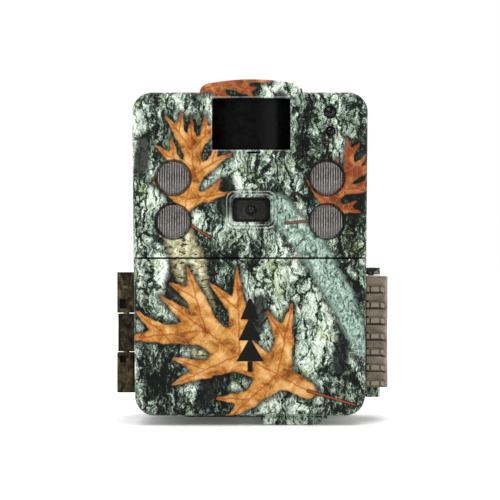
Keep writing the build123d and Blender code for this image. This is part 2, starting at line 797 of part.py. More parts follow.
def make_reflectors():
    cups = []
    for side in (-1, 1):
        for level in led_levels:
            x = side * led_x
            cup = rod("Y", led_lens_radius + 0.2, reflector_front, reflector_depth, (x, level))
            for px, pz in lamp_points(x, level):
                cone = Cone(led_offset - 0.25, led_radius + 0.1, reflector_depth - 0.8)
                cup -= Pos(px, reflector_front + (reflector_depth - 0.8) / 2, pz) * Rot(-90, 0, 0) * cone
                cup -= rod("Y", led_radius + 0.1, reflector_front, reflector_depth + 1, (px, pz))
            cups.append(cup)
    return group(cups)


def make_leds():
    lamps = []
    for side in (-1, 1):
        for level in led_levels:
            for px, pz in lamp_points(side * led_x, level):
                body = rod("Y", led_radius, led_board_y - 1.6, 1.6 - slip, (px, pz))
                lamps.append(body + Pos(px, led_board_y - 1.6, pz) * Sphere(led_radius))
    return group(lamps)


def make_led_boards():
    boards = []
    for side in (-1, 1):
        low = led_levels[1] - led_lens_radius - 0.4
        high = led_levels[0] + led_lens_radius + 1.0
        x0 = side * (led_x - led_lens_radius - 1.0)
        x1 = side * (screw_x - boss_radius - 0.6)
        boards.append(block(x0, x1, led_board_y, led_board_y + board_thickness, low, high))
    return group(boards)


number = 1
for side in (-1, 1):
    for level in led_levels:
        save("led_lens_" + str(number), make_led_lens(side * led_x, level))
        number += 1
save("led_reflectors", make_reflectors())
save("ir_leds", make_leds())
save("led_boards", make_led_boards())


def round_cover(x, level, radius):
    """Small domed lens with a flange behind the cover."""
    stem = rod("Y", radius, face_y + 0.9, cover_edge - 0.5, (x, level))
    dome = Pos(x, face_y + 0.9 + radius * 1.6 - 0.5, level) * Sphere(radius * 1.6)
    front = rod("Y", radius, face_y + 0.2, 1.2, (x, level)) & dome
    return stem + front + rod("Y", radius + 0.9, cover_back + slip, 0.8, (x, level))


save("light_sensor_lens", round_cover(light_x, light_z, light_radius))
save("indicator_lens", round_cover(indicator_x, indicator_z, indicator_radius))
save("light_sensor", block(light_x - 1.6, light_x + 1.6, cover_back + 1.2, cover_back + 3.2,
                           light_z - 1.6, light_z + 1.6))
save("indicator_led", block(indicator_x - 1.2, indicator_x + 1.2, cover_back + 1.2, cover_back + 2.8,
                            indicator_z - 1.0, indicator_z + 1.0))

# ---------------------------------------------------------------- main board and controls
button_flange = 0.8
flange_front = panel_front - part_gap - button_flange
key_size = 6.0
key_height = flange_front - board_back - button_travel - 0.2
screen_back = panel_front - slip


def make_main_board():
    board = block(-main_board_half, main_board_half, main_board_y, board_back, main_board_low, board_top)
    return fillet(board.edges().filter_by(Axis.Y), 1.0)


def make_chips():
    """Processor, memory and power chips on the front of the main board."""
    front = main_board_y - 1.4
    back = main_board_y - slip
    top = board_top
    places = ((-10.0, top - 14.0, 14.0, 14.0), (8.0, top - 16.0, 9.0, 12.0), (-20.0, top - 4.0, 8.0, 4.0))
    chips = []
    for x, level, width, tall in places:
        chips.append(block(x - width / 2, x + width / 2, front, back, level - tall / 2, level + tall / 2))
    return group(chips)


def make_capacitors():
    """Upright round capacitors that drive the lamps."""
    cans = []
    for x, level in ((22.0, board_top - 5.5), (22.0, board_top - 13.0)):
        cans.append(rod("Y", 3.2, main_board_y - 7.0, 7.0 - slip, (x, level)))
    return group(cans)


def make_keys():
    keys = []
    for level in button_levels:
        half = key_size / 2
        keys.append(block(button_x - half, button_x + half, board_back + slip, board_back + key_height,
                          level - half, level + half))
    return group(keys)


def make_button(level):
    """Button cap with a flange behind the panel and a domed face."""
    cap = rod("Y", button_radius, flange_front + 0.2, door_back + button_proud - flange_front - 0.2,
              (button_x, level))
    cap = fillet(cap.edges().group_by(Axis.Y)[-1], 0.4)
    return cap + rod("Y", button_radius + 0.7, flange_front, button_flange, (button_x, level))


def make_power_switch():
    """Sliding knob with three grip ridges; it rests in its off place."""
    x = button_x - switch_travel / 2
    half = switch_knob / 2
    knob = block(x - half, x + half, board_back + 3.4, door_back + 1.4, switch_z - 1.5, switch_z + 1.5)
    for step in (-1, 0, 1):
        place = x + step * 1.4
        knob -= block(place - 0.25, place + 0.25, door_back + 1.0, door_back + 2, switch_z - 2,
                      switch_z + 2)
    return knob


save("main_board", make_main_board())
save("processor_chips", make_chips())
save("main_capacitors", make_capacitors())
save("clock_battery", rod("Y", 5.0, main_board_y - 2.0, 2.0 - slip, (-22.0, main_board_low + 10.8)))
save("tact_switches", make_keys())
save("slide_switch_body", block(button_x - 6, button_x + 6, board_back + slip, board_back + 3.1,
                                switch_z - 2.6, switch_z + 2.6))
save("power_switch", make_power_switch())
for name, level in zip(("mode_button", "up_button", "down_button", "enter_button"), button_levels):
    save(name, make_button(level))
save("screen_module", front_plate(Pos(screen_x, screen_z) * window_profile(screen_width,
                                                                           screen_height, 0.6),
                                  screen_back - screen_depth, screen_back))
save("screen_window", front_plate(Pos(screen_x, screen_z) * window_profile(view_width + 2.0,
                                                                           view_height + 2.0, 0.9),
                                  door_back - 1.0 + slip, door_back - slip))

# ---------------------------------------------------------------- memory card
card_back = door_back + card_proud
card_room = 0.25


def make_socket():
    half = card_width / 2 + 2.0
    tall = card_thickness / 2 + 0.8
    y0 = card_back - card_length - 1.2
    y1 = panel_front - 2.4
    socket = block(screen_x - half, screen_x + half, y0, y1, card_z - tall, card_z + tall)
    half = card_width / 2 + card_room
    tall = card_thickness / 2 + card_room
    return socket - block(screen_x - half, screen_x + half, y0 + 0.8, y1 + 1, card_z - tall, card_z + tall)


def make_card():
    """Memory card with one cut corner, printed side down."""
    half = card_width / 2
    y0 = card_back - card_length
    card = block(screen_x - half, screen_x + half, y0, card_back, card_z - card_thickness / 2,
                 card_z + card_thickness / 2)
    corner = card.edges().filter_by(Axis.Z).sort_by(Axis.X)[:2].sort_by(Axis.Y)[:1]
    return chamfer(corner, 4.0)


save("sd_socket", make_socket())
save("sd_card", make_card())

# ---------------------------------------------------------------- outside power jack
plug_stem = 2.4
plug_length = 6.0


def make_jack():
    """Round-nosed jack with a centre pin, seated behind the left wall."""
    start = jack_wall + wall + slip
    body = block(start, start + 12.0, jack_y - 4.6, jack_y + 4.6, jack_z - 4.6, jack_z + 4.6)
    body -= rod("X", 3.0, start - 1, 10.0, (jack_y, jack_z))
    return body + rod("X", 0.9, start + 2.0, 8.0, (jack_y, jack_z))


def make_plug():
    """Rubber plug that sits flush in the wall and reaches into the jack."""
    disc = rod("X", plug_flange, jack_wall + 0.1, 1.0, (jack_y, jack_z))
    neck = rod("X", jack_radius - 0.4, jack_wall + 0.6, wall - 0.6, (jack_y, jack_z))
    stem = rod("X", plug_stem, jack_wall + 0.6, plug_length, (jack_y, jack_z))
    hollow = rod("X", 1.3, jack_wall + wall, plug_length, (jack_y, jack_z))
    tab = block(jack_wall - 0.9, jack_wall + 0.6, jack_y - 1.2, jack_y + 1.2, jack_z + 1.6, jack_z + 4.4)
    return disc + neck + stem - hollow + tab


save("power_jack", make_jack())
save("jack_plug", make_plug())

# ---------------------------------------------------------------- cells and their tray
inner_end = tray_half - tray_wall
plate_thickness = 0.4
cell_front_end = inner_end - plate_thickness - slip
cell_back_end = cell_front_end - cell_length - nub_length
seal_depth = 0.8
seal_height = 1.2
seal_z = body_bottom + 1.0


def cell_places():
    """Row and level of each cell, with the way its nub points."""
    places = []
    for row in (-1, 1):
        for level in range(cell_rows):
            way = 1 if (level + (row + 1) // 2) % 2 == 0 else -1
            places.append((row_middle + row * row_offset, first_cell_z + level * cell_step, way))
    return places


def lengthwise(way, radius, near, far, at):
    """Cylinder along X between two stations, counted the way the cell points."""
    low = min(way * near, way * far)
    return rod("X", radius, low, abs(far - near), at)


def make_tray():
    """Open tray: floor with a finger grip, two ends, a top and two retaining strips."""
    half = tray_half
    tray = block(-half, half, tray_front, tray_back, body_bottom, floor_top)
    tray += block(-half, half, tray_front, tray_back, tray_top - tray_wall, tray_top)
    for side in (-1, 1):
        tray += block(side * half, side * inner_end, tray_front, tray_back, body_bottom, tray_top)
    for y0, y1 in ((tray_front, tray_front + 0.9), (tray_back - 0.9, tray_back)):
        tray += block(-4, 4, y0, y1, body_bottom, tray_top)
        for side in (-1, 1):
            tray += block(side * half, side * (half - 5), y0, y1, body_bottom, tray_top)
    groove = block(-60, 60, -90, 90, seal_z, seal_z + seal_height)
    depth = seal_depth
    groove -= block(-half + depth, half - depth, tray_front + depth, tray_back - depth, 0, 20)
    tray -= groove
    grip = block(grip_left, grip_right, tray_front + 1.2, tray_front + 21.2, ground, body_bottom + 0.4)
    grip = fillet(grip.edges().filter_by(Axis.Y).group_by(Axis.Z)[0], 2.2)
    grip = fillet(grip.edges().group_by(Axis.Z)[0].filter_by(Axis.X), 0.8)
    for step in range(3):
        place = tray_front + 6.0 + 4.5 * step
        grip -= block(grip_left + 2.5, grip_right - 2.5, place, place + 1.6, ground - 1, ground + 0.7)
    catch = block(grip_right + 0.7, grip_right + 1.7, tray_front + 1.2, tray_front + 5.0, body_bottom - 1.1,
                  body_bottom + 0.4)
    return tray + grip + catch


def make_seal():
    """Rubber ring in the tray floor's groove."""
    half = tray_half
    low = seal_z + slip
    high = seal_z + seal_height - slip
    ring = block(-half - 0.1, half + 0.1, tray_front - 0.1, tray_back + 0.1, low, high)
    depth = seal_depth - slip
    return ring - block(-half + depth, half - depth, tray_front + depth, tray_back - depth, 0, 20)


def make_cells():
    cells = []
    for y, level, way in cell_places():
        cell = lengthwise(way, cell_radius, cell_back_end, cell_front_end - nub_length, (y, level))
        cells.append(cell + lengthwise(way, nub_radius, 0, cell_front_end, (y, level)))
    return group(cells)


def make_springs():
    """Conical contact springs, each drawn as its closed outer shape."""
    springs = []
    length = cell_back_end + inner_end - plate_thickness - 2 * slip
    for y, level, way in cell_places():
        cone = Cone(4.8, 3.0, length) - Cone(4.0, 2.2, length + 0.01)
        middle = -way * (inner_end - plate_thickness - slip - length / 2)
        springs.append(Pos(middle, y, level) * Rot(0, way * 90, 0) * cone)
    return group(springs)


def make_plates():
    """Sprung plates at both ends of every cell, and the two terminals on top of the tray."""
    plates = []
    for y, level, _ in cell_places():
        for side in (-1, 1):
            plates.append(block(side * (inner_end - slip), side * (inner_end - plate_thickness),
                                y - 5.5, y + 5.5, level - 5.5, level + 5.5))
    for side in (-1, 1):
        plates.append(block(side * 14, side * 22, row_middle - 4, row_middle + 4, tray_top + slip,
                            tray_top + 0.35))
    return group(plates)


def make_terminals():
    """Two strips under the divider that meet the tray's terminals."""
    strips = []
    for side in (-1, 1):
        strips.append(block(side * 13, side * 23, row_middle - 5, row_middle + 5, bay_top - 0.5,
                            bay_top - slip))
    return group(strips)


save("battery_tray", make_tray())
save("tray_seal", make_seal())
save("battery_cells", make_cells())
save("cell_springs", make_springs())
save("contact_plates", make_plates())
save("bay_terminals", make_terminals())

# ---------------------------------------------------------------- latch
groove_width = 0.8
groove_depth = 0.8


def make_latch():
    """Ribbed lever on its pin; a pocket inside clears the keeper on the door."""
    low = latch_low
    high = latch_high
    outline = [
        (lever_in, lever_front),
        (latch_out - 1.2, lever_front),
        (latch_out, lever_front + 1.4),
        (latch_out - 0.2, latch_y - 4.0),
        (latch_x + latch_boss, latch_y),
        (lever_in, latch_y),
    ]
    bar = Pos(0, 0, low) * extrude(make_face(Polyline(*outline, close=True)), high - low)
    lever = bar + rod("Z", latch_boss, low, high - low, (latch_x, latch_y))
    lever -= block(lever_in - 1, half_width(latch_high) + keeper_out + part_gap, lever_front - 1,
                   lever_front + 7.5,
                   low + 5.0, high - 5.0)
    for step in range(1, rib_count):
        level = high - step * rib_pitch
        low_edge = level - groove_width / 2
        high_edge = level + groove_width / 2
        lever -= block(latch_out - groove_depth, 60, lever_front + 1.4, latch_y - 4, low_edge, high_edge)
        lever -= block(lever_in + 0.8, 60, lever_front - 1, lever_front + groove_depth, low_edge, high_edge)
        for x0, x1 in ((lever_in + 1.6, lever_in + 2.0), (lever_in + 5.2, lever_in + 5.6)):
            lever -= block(x0, x1, lever_front - 1, lever_front + 0.5, level, level + rib_pitch * 0.4)
    return lever - rod("Z", latch_pin_radius + 0.06, low - 1, high - low + 2, (latch_x, latch_y))


save("latch_lever", make_latch())


# ---------------------------------------------------------------- screws
def screw(x, level, head_y, head, shank, length, way):
    """Pan-head screw along Y; way is the direction its point faces."""
    top = rod("Y", head, min(head_y, head_y - way * 1.3), 1.3, (x, level))
    body = rod("Y", shank, min(head_y, head_y + way * length), length, (x, level))
    cross = block(x - head * 0.6, x + head * 0.6, head_y - way * 1.4, head_y - way * 0.8,
                  level - 0.25, level + 0.25)
    cross += block(x - 0.25, x + 0.25, head_y - way * 1.4, head_y - way * 0.8, level - head * 0.6,
                   level + head * 0.6)
    return top + body - cross


seat_y = boss_front + boss_length + slip
save("cover_screws", group([screw(x, z, seat_y, screw_head, screw_radius, 8.0, -1) for x,
                            z in screw_places]))
save("panel_screws", group([screw(x, z, door_back + slip, 1.8, panel_screw_radius, 6.0, -1)
                            for x, z in panel_screw_places]))
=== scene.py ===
"""Trail camera in printed camouflage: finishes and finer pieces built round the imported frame."""

import math

import bpy
import numpy as np
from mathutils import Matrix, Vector


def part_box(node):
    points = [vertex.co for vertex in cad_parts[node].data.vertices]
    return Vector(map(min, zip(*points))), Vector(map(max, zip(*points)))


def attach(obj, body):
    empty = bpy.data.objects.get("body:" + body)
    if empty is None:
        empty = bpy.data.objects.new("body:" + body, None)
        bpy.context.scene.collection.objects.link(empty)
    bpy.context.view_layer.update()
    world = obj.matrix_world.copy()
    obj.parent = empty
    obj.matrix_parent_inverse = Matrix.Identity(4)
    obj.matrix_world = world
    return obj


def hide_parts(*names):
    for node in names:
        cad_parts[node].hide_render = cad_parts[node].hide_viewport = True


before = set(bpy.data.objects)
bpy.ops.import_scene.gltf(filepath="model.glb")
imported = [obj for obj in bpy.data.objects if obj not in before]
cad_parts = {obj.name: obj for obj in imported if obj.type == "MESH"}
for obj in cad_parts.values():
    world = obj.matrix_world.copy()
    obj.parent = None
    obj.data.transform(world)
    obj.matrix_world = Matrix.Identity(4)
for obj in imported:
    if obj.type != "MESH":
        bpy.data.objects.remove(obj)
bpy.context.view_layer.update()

bl_info = {
    "name": "Trail Camera",
    "version": (1, 0, 0),
    "blender": (4, 5, 0),
    "location": "View3D > Sidebar > Trail Camera",
    "description": "Finishes and finer pieces for a strap-on trail camera",
    "category": "Add Mesh",
}

MM = 0.001
PER_METRE = 1000.0

# Places that the finishes and the new pieces are measured from, in metres.
COVER_LOW, COVER_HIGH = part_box("lower_cover")
UPPER_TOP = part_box("upper_faceplate")[1][2]
HOUSING_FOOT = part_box("front_housing")[0][2]
FACE_Y = COVER_LOW[1]
SEAM_Z = COVER_HIGH[2]
BODY_HALF = COVER_HIGH[0]

LAMPS = (1, 2, 3, 4)
GOLDEN_STEP = 0.618034


# ---------------------------------------------------------------- wiring nodes
class Wiring:
    """Adds and joins the nodes of one tree. An input may be a socket, a number, a tuple or, for a
    colour, a hex code."""

    def __init__(self, tree):
        self.tree = tree

    def feed(self, socket, value):
        if value is None:
            return
        if isinstance(value, str):
            value = srgb(value)
        if isinstance(value, bpy.types.NodeSocket):
            self.tree.links.new(value, socket)
        elif socket.type == "RGBA" and len(value) == 3:
            socket.default_value = (*value, 1.0)
        else:
            socket.default_value = value

    def add(self, kind, inputs=None, **settings):
        node = self.tree.nodes.new(kind)
        for name, value in settings.items():
            setattr(node, name, value)
        for key, value in (inputs or {}).items():
            self.feed(node.inputs[key], value)
        return node

    def math(self, operation, a, b=None, c=None):
        return self.add("ShaderNodeMath", {0: a, 1: b, 2: c}, operation=operation).outputs[0]

    def times(self, a, b):
        return self.math("MULTIPLY", a, b)

    def minus(self, a, b):
        return self.math("SUBTRACT", a, b)

    def size(self, a):
        return self.math("ABSOLUTE", a)

    def most(self, a, b):
        return self.math("MAXIMUM", a, b)

    def over(self, a, b):
        return self.math("GREATER_THAN", a, b)

    def under(self, a, b):
        return self.math("LESS_THAN", a, b)

    def vector(self, operation, a, b=None, c=None, out="Vector"):
        return self.add("ShaderNodeVectorMath", {0: a, 1: b, 2: c}, operation=operation).outputs[out]

    def combine(self, x, y, z=0.0):
        return self.add("ShaderNodeCombineXYZ", {"X": x, "Y": y, "Z": z}).outputs[0]

    def split(self, vector):
        return self.add("ShaderNodeSeparateXYZ", {0: vector}).outputs

    def scaled(self, vector, factors):
        return self.vector("MULTIPLY", vector, factors)

    def mix(self, factor, a, b, blend="MIX"):
        node = self.add("ShaderNodeMix", {0: factor, 6: a, 7: b}, data_type="RGBA", blend_type=blend)
        return node.outputs[2]

    def blend(self, factor, a, b):
        return self.add("ShaderNodeMix", {0: factor, 2: a, 3: b}, data_type="FLOAT").outputs[0]

    def smooth(self, value, low, high, to_low=0.0, to_high=1.0):
        """Smooth step from one level to another, clamped outside them."""
        inputs = {0: value, 1: low, 2: high, 3: to_low, 4: to_high}
        return self.add("ShaderNodeMapRange", inputs, interpolation_type="SMOOTHSTEP").outputs[0]

    def noise(self, vector, scale, detail=3.0, rough=0.55, twist=0.0, out="Fac"):
        inputs = {"Vector": vector, "Scale": scale, "Detail": detail, "Roughness": rough,
                  "Distortion": twist}
        return self.add("ShaderNodeTexNoise", inputs).outputs[out]

    def cells(self, vector, scale, feature="DISTANCE_TO_EDGE", random=1.0):
        inputs = {"Vector": vector, "Scale": scale, "Randomness": random}
        return self.add("ShaderNodeTexVoronoi", inputs, feature=feature).outputs["Distance"]

    def ramp(self, value, stops):
        """Colour ramp through (place, colour) stops."""
        node = self.add("ShaderNodeValToRGB", {0: value})
        elements = node.color_ramp.elements
        while len(elements) < len(stops):
            elements.new(0.5)
        for element, (place, colour) in zip(elements, stops):
            element.position = place
            element.color = (*(srgb(colour) if isinstance(colour, str) else colour), 1.0)
        return node.outputs[0]

    def bump(self, height, strength, distance, under=None):
        inputs = {"Height": height, "Strength": strength, "Distance": distance, "Normal": under}
        return self.add("ShaderNodeBump", inputs).outputs[0]

    def place(self):
        """Object coordinates in millimetres."""
        return self.scaled(self.add("ShaderNodeTexCoord").outputs["Object"], (PER_METRE,) * 3)

    def attribute(self, name):
        """The piece's own point attribute."""
        return self.add("ShaderNodeAttribute", attribute_name=name).outputs["Fac"]


def srgb(code):
    """Linear colour from a six-digit hex code."""
    parts = [int(code[i:i + 2], 16) / 255.0 for i in (0, 2, 4)]
    return tuple(c / 12.92 if c <= 0.04045 else ((c + 0.055) / 1.055) ** 2.4 for c in parts)


def node_box(node, scale=1.0):
    """A frame node's lowest and highest corners as arrays."""
    return tuple(np.array(corner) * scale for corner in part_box(node))


def new_material(name):
    """Empty node material: its wiring and its shader, already joined to the output."""
    material = bpy.data.materials.new(name)
    material.use_nodes = True
    tree = material.node_tree
    tree.nodes.clear()
    wires = Wiring(tree)
    shader = wires.add("ShaderNodeBsdfPrincipled")
    output = wires.add("ShaderNodeOutputMaterial")
    tree.links.new(shader.outputs[0], output.inputs["Surface"])
    return material, wires, shader


def coat(w, shader, colour, rough, normal):
    """Joins a finish's colour, roughness and bump to its shader."""
    w.feed(shader.inputs["Base Color"], colour)
    w.feed(shader.inputs["Roughness"], rough)
    w.feed(shader.inputs["Normal"], normal)


def dress(names, material):
    """Gives one finish to frame nodes or new pieces."""
    for name in names:
        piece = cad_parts.get(name) or bpy.data.objects[name]
        mesh = piece.data
        mesh.materials.clear()
        mesh.materials.append(material)
        mesh.polygons.foreach_set("material_index", np.zeros(len(mesh.polygons), dtype=np.int32))


# ---------------------------------------------------------------- the camouflage print
# The design is worked out here. A stroke is (start x, start z, end x, end z, start half width,
# end half width), in millimetres from the middle of the seam between the two covers.
HALF_WIDTH = BODY_HALF / MM
UPPER_HEIGHT = (UPPER_TOP - SEAM_Z) / MM
LOWER_HEIGHT = (SEAM_Z - COVER_LOW[2]) / MM


def spot(across, up):
    """Place on the covers by shares: -1 to 1 across, and -1 at the foot to 1 at the top."""
    return across * HALF_WIDTH, up * (UPPER_HEIGHT if up > 0.0 else LOWER_HEIGHT)


def step(place, heading, length):
    """The place reached from another by going a length along a heading in degrees."""
    turn = math.radians(heading)
    return place[0] + length * math.cos(turn), place[1] + length * math.sin(turn)


def bough(root, heading, length, thick, bend):
    """Strokes of a branch: three equal lengths, each turned by the bend, thinner at its tip."""
    strokes = []
    for number, (start, end) in enumerate(((0.90, 1.0), (1.0, 0.92), (0.92, 0.62))):
        tip = step(root, heading + number * bend, length / 3)
        strokes.append((*root, *tip, thick * start, thick * end))
        root = tip
    return strokes


def oak_leaf(root, heading, length, breadth=0.50, curl=10.0):
    """Strokes of a lobed leaf grown from its root.

    The midrib is two lengths that turn by the curl, widest where they meet. Three pairs of lobes
    leave it at even steps, leaning forward from 72 to 40 degrees. A lobe's reach is the breadth
    times the length times a half sine of its place, made up to a tenth longer on one side than
    on the other, and halfway along it a tooth turns off forward. Every tip narrows to a point."""
    elbow = step(root, heading, 0.5 * length)
    tip = step(elbow, heading + curl, 0.5 * length)
    strokes = [(*root, *elbow, 0.045 * length, 0.105 * length), (*elbow, *tip, 0.105 * length, 0.25)]
    for pair in range(3):
        share = 0.20 + 0.24 * pair
        foot = step(root, heading, share * length) if share < 0.5 else step(
            elbow, heading + curl, (share - 0.5) * length)
        reach = breadth * length * math.sin(math.pi * (0.24 + 0.58 * share))
        for side in (1.0, -1.0):
            lean = heading + side * (72.0 - 16.0 * pair) + curl * share
            long = reach * (1.0 + 0.10 * side * math.cos(2.4 * pair + length))
            end = step(foot, lean, long)
            strokes.append((*foot, *end, 0.085 * length, 0.25))
            knee = step(foot, lean, 0.50 * long)
            strokes.append((*knee, *step(knee, lean - side * 44.0, 0.46 * long), 0.050 * length, 0.25))
    return strokes


def scatter(count, start, long, thick):
    """Upright patches over the covers, stepped across by the golden ratio from foot to top."""
    strokes = []
    for number in range(count):
        across = 2.0 * ((start + number * GOLDEN_STEP) % 1.0) - 1.0
        x, z = spot(0.94 * across, 0.94 * (2.0 * (number + 0.5) / count - 1.0))
        strokes.append((x - 0.6, z - long / 2, x + 0.6, z + long / 2, thick, 0.75 * thick))
    return strokes


LARGE_LEAF = oak_leaf(spot(0.50, -0.84), 152.0, 58.0, 0.46, -9.0)
GOLD_LEAF = oak_leaf(spot(-0.58, 0.22), 78.0, 34.0, 0.44, 14.0)
RUST_LEAF = oak_leaf(spot(0.62, 0.22), 62.0, 26.0, 0.46, -12.0)
HOOD_LEAF = oak_leaf(spot(-0.44, 0.94), 14.0, 27.0, 0.30, 8.0)
LEAF_STALKS = [(*spot(0.50, -0.84), *spot(0.90, -0.93), 0.30, 0.20),
               (*spot(-0.58, 0.22), *spot(-0.34, 0.12), 0.24, 0.16),
               (*spot(0.62, 0.22), *spot(0.30, 0.20), 0.22, 0.16)]
PALE_STICK = bough(spot(-0.66, 0.20), -68.0, 44.0, 5.4, -9.0)
MINT_BRANCH = bough(spot(0.22, 0.30), -50.0, 56.0, 4.6, -9.0)
DARK_PLACES = scatter(8, 0.30, 9.0, 2.6)
PALE_PLACES = scatter(9, 0.62, 8.0, 2.6)
# The conifer on the lower cover: middle, top, height and widest half width.
CONIFER = (0.0, -0.25 * LOWER_HEIGHT, 0.47 * LOWER_HEIGHT, 0.13 * HALF_WIDTH)
# The print repeats after this width, and the back takes it mirrored from this place on.
PRINT_REPEAT = 110.0
BACK_START = 186.0

# The places below are in millimetres. The shell's inside is bare plastic: its half width, lowest
# and highest, which lie within the thickness of its walls.
HALF_WALL = 1.1
BARE_HALF = BODY_HALF * PER_METRE - 1.5
BARE_LOW = COVER_LOW[2] * PER_METRE + HALF_WALL
BARE_HIGH = HOUSING_FOOT * PER_METRE + 105.8
# The hinge strip lies outside this place across, and the gaps between its knuckles, painted in shade, behind
# this depth.
HINGE_EDGE = -BODY_HALF * PER_METRE - 0.9
HINGE_FRONT = -11.9
# From this depth on the case is printed as a back, and the strap rails stand this far behind it.
BACK_Y = 9.2
RAIL_DEPTH = 4.5
# Ridges round the camera window and the hood's mouth: half width, half height, corner, and strength of the
# painted highlight along each ridge and the painted shade beside it.
WINDOW_RIDGES = ((8.1, 6.0, 2.7, 0.55), (6.95, 5.0, 2.1, 0.42))
HOOD_RIDGES = ((13.1, 8.75, 0.6, 0.22),)
# Radius of the chamfer round a lamp's hole, where a ring of painted shade lies.
LAMP_CHAMFER = 5.75
# The band of a cell's sleeve, and where its bare end starts, from the tray's middle.
CELL_BAND = 17.0
CELL_END = 24.0

# The flange that a lamp lens's box has round its face, and the place that the lights face, in metres.
LENS_FLANGE = 0.9 * MM
LIGHT_AIM = Vector((0.0, 0.0, 0.057))
# How strongly the white world lights the object; the camera sees it at full strength.
WORLD_LIGHT = 0.32


def stroke_group():
    """Distance from a point to a tapered stroke: to its edge, and to its middle line."""
    group = bpy.data.node_groups.new("tapered_stroke", "ShaderNodeTree")
    for name in ("Point", "Start", "End"):
        group.interface.new_socket(name, in_out="INPUT", socket_type="NodeSocketVector")
    for name in ("Start Width", "End Width"):
        group.interface.new_socket(name, in_out="INPUT", socket_type="NodeSocketFloat")
    for name in ("Edge", "Axis"):
        group.interface.new_socket(name, in_out="OUTPUT", socket_type="NodeSocketFloat")
    w = Wiring(group)
    given = w.add("NodeGroupInput").outputs
    along = w.vector("SUBTRACT", given["End"], given["Start"])
    reach = w.vector("SUBTRACT", given["Point"], given["Start"])
    length = w.vector("DOT_PRODUCT", along, along, out="Value")
    share = w.math("DIVIDE", w.vector("DOT_PRODUCT", reach, along, out="Value"), length)
    share = w.math("MINIMUM", w.most(share, 0.0), 1.0)
    foot = w.add("ShaderNodeVectorMath", {0: along, 3: share}, operation="SCALE").outputs[0]
    axis = w.vector("LENGTH", w.vector("SUBTRACT", reach, foot), out="Value")
    edge = w.minus(axis, w.blend(share, given["Start Width"], given["End Width"]))
    w.add("NodeGroupOutput", {"Edge": edge, "Axis": axis})
    return group


def wire_strokes(w, group, point, strokes, soft=1.0):
    """Smooth union of strokes: distance to its edge, and to the nearest middle line."""
    edge, axis = None, None
    for x0, z0, x1, z1, width0, width1 in strokes:
        node = w.add("ShaderNodeGroup", node_tree=group)
        inputs = {"Point": point, "Start": (x0, z0, 0.0), "End": (x1, z1, 0.0),
                  "Start Width": width0, "End Width": width1}
        for key, value in inputs.items():
            w.feed(node.inputs[key], value)
        if edge is None:
            edge, axis = node.outputs["Edge"], node.outputs["Axis"]
        else:
            edge = w.math("SMOOTH_MIN", edge, node.outputs["Edge"], soft)
            axis = w.math("MINIMUM", axis, node.outputs["Axis"])
    return edge, axis


def wire_panel(w):
    """Unrolled place on the shell: across, and up from the seam, in millimetres.

    The print wraps round from the front, so on a side the distance back from the face is added
    to the place across, on the top and the underside it is added to the height, and the back
    takes the plane mirrored and moved along, with the strap rails on it."""
    texture = w.add("ShaderNodeTexCoord").outputs
    x, y, z = w.split(w.scaled(texture["Object"], (PER_METRE,) * 3))
    turn = w.split(texture["Normal"])
    wide, deep, tall = (w.size(part) for part in turn)
    body = w.under(y, BACK_Y)
    side = w.times(w.over(wide, deep), w.over(wide, tall))
    side = w.times(side, body)
    level = w.times(w.over(tall, deep), w.minus(1.0, side))
    level = w.times(level, body)
    back = w.times(w.over(turn[1], 0.0),
                  w.minus(1.0, w.most(side, level)))
    back = w.most(back, w.minus(1.0, body))
    depth = w.most(w.minus(y, FACE_Y * PER_METRE), 0.0)
    across = w.blend(back, x, w.minus(BACK_START, x))
    across = w.math("MULTIPLY_ADD", w.times(side, w.math("SIGN", turn[0])), depth, across)
    up = w.minus(z, SEAM_Z * PER_METRE)
    up = w.math("MULTIPLY_ADD", w.times(level, w.math("SIGN", turn[2])), depth, up)
    return across, up


def wire_bark(w, plane, tint, lift=None):
    """Marbled bark: streaks of lichen over dark cracks, with moss and brown flakes."""
    drift = w.noise(plane, 0.10, 4.0, 0.6, out="Color")
    moved = w.vector("MULTIPLY_ADD", drift, (9.0, 9.0, 9.0), plane)
    streaked = w.scaled(moved, (1.0, 0.40, 1.0))
    fine = w.noise(streaked, 1.05, 10.0, 0.78, 0.35)
    broad = w.noise(w.scaled(moved, (1.0, 0.42, 1.0)), 0.115, 4.0, 0.55, 0.4)
    crack = w.cells(w.scaled(moved, (1.0, 0.26, 1.0)), 0.24)
    grit = w.noise(plane, 2.4, 4.0, 0.72)
    level = w.math("MULTIPLY_ADD", w.minus(broad, 0.5), 0.62, fine)
    level = w.math("MULTIPLY_ADD", w.minus(grit, 0.5), 0.30, level)
    level = w.minus(level, w.smooth(crack, 0.09, 0.0, 0.0, 0.12))
    if lift is not None:
        level = w.math("ADD", level, lift)
    colour = w.ramp(level, [
        (0.33, "080b09"), (0.42, "161d18"), (0.465, "3a463c"), (0.505, "6e7d70"),
        (0.55, "a5b3a4"), (0.61, "d4dcd0"), (0.70, "f5f6ee")])
    moss_field = w.noise(w.vector("ADD", plane, (31.0, 57.0, 0.0)), 0.085, 5.0, 0.66)
    moss = w.smooth(moss_field, 0.54, 0.66, 0.0, 0.72)
    colour = w.mix(moss, colour, w.mix(1.0, colour, "c3c57a", "MULTIPLY"))
    flake_field = w.noise(w.vector("ADD", streaked, (90.0, 12.0, 0.0)), 0.34, 6.0, 0.7)
    flake = w.smooth(flake_field, 0.58, 0.66, 0.0, 0.6)
    colour = w.mix(flake, colour, w.mix(1.0, colour, "b8926c", "MULTIPLY"))
    return w.mix(1.0, colour, tint, "MULTIPLY"), level


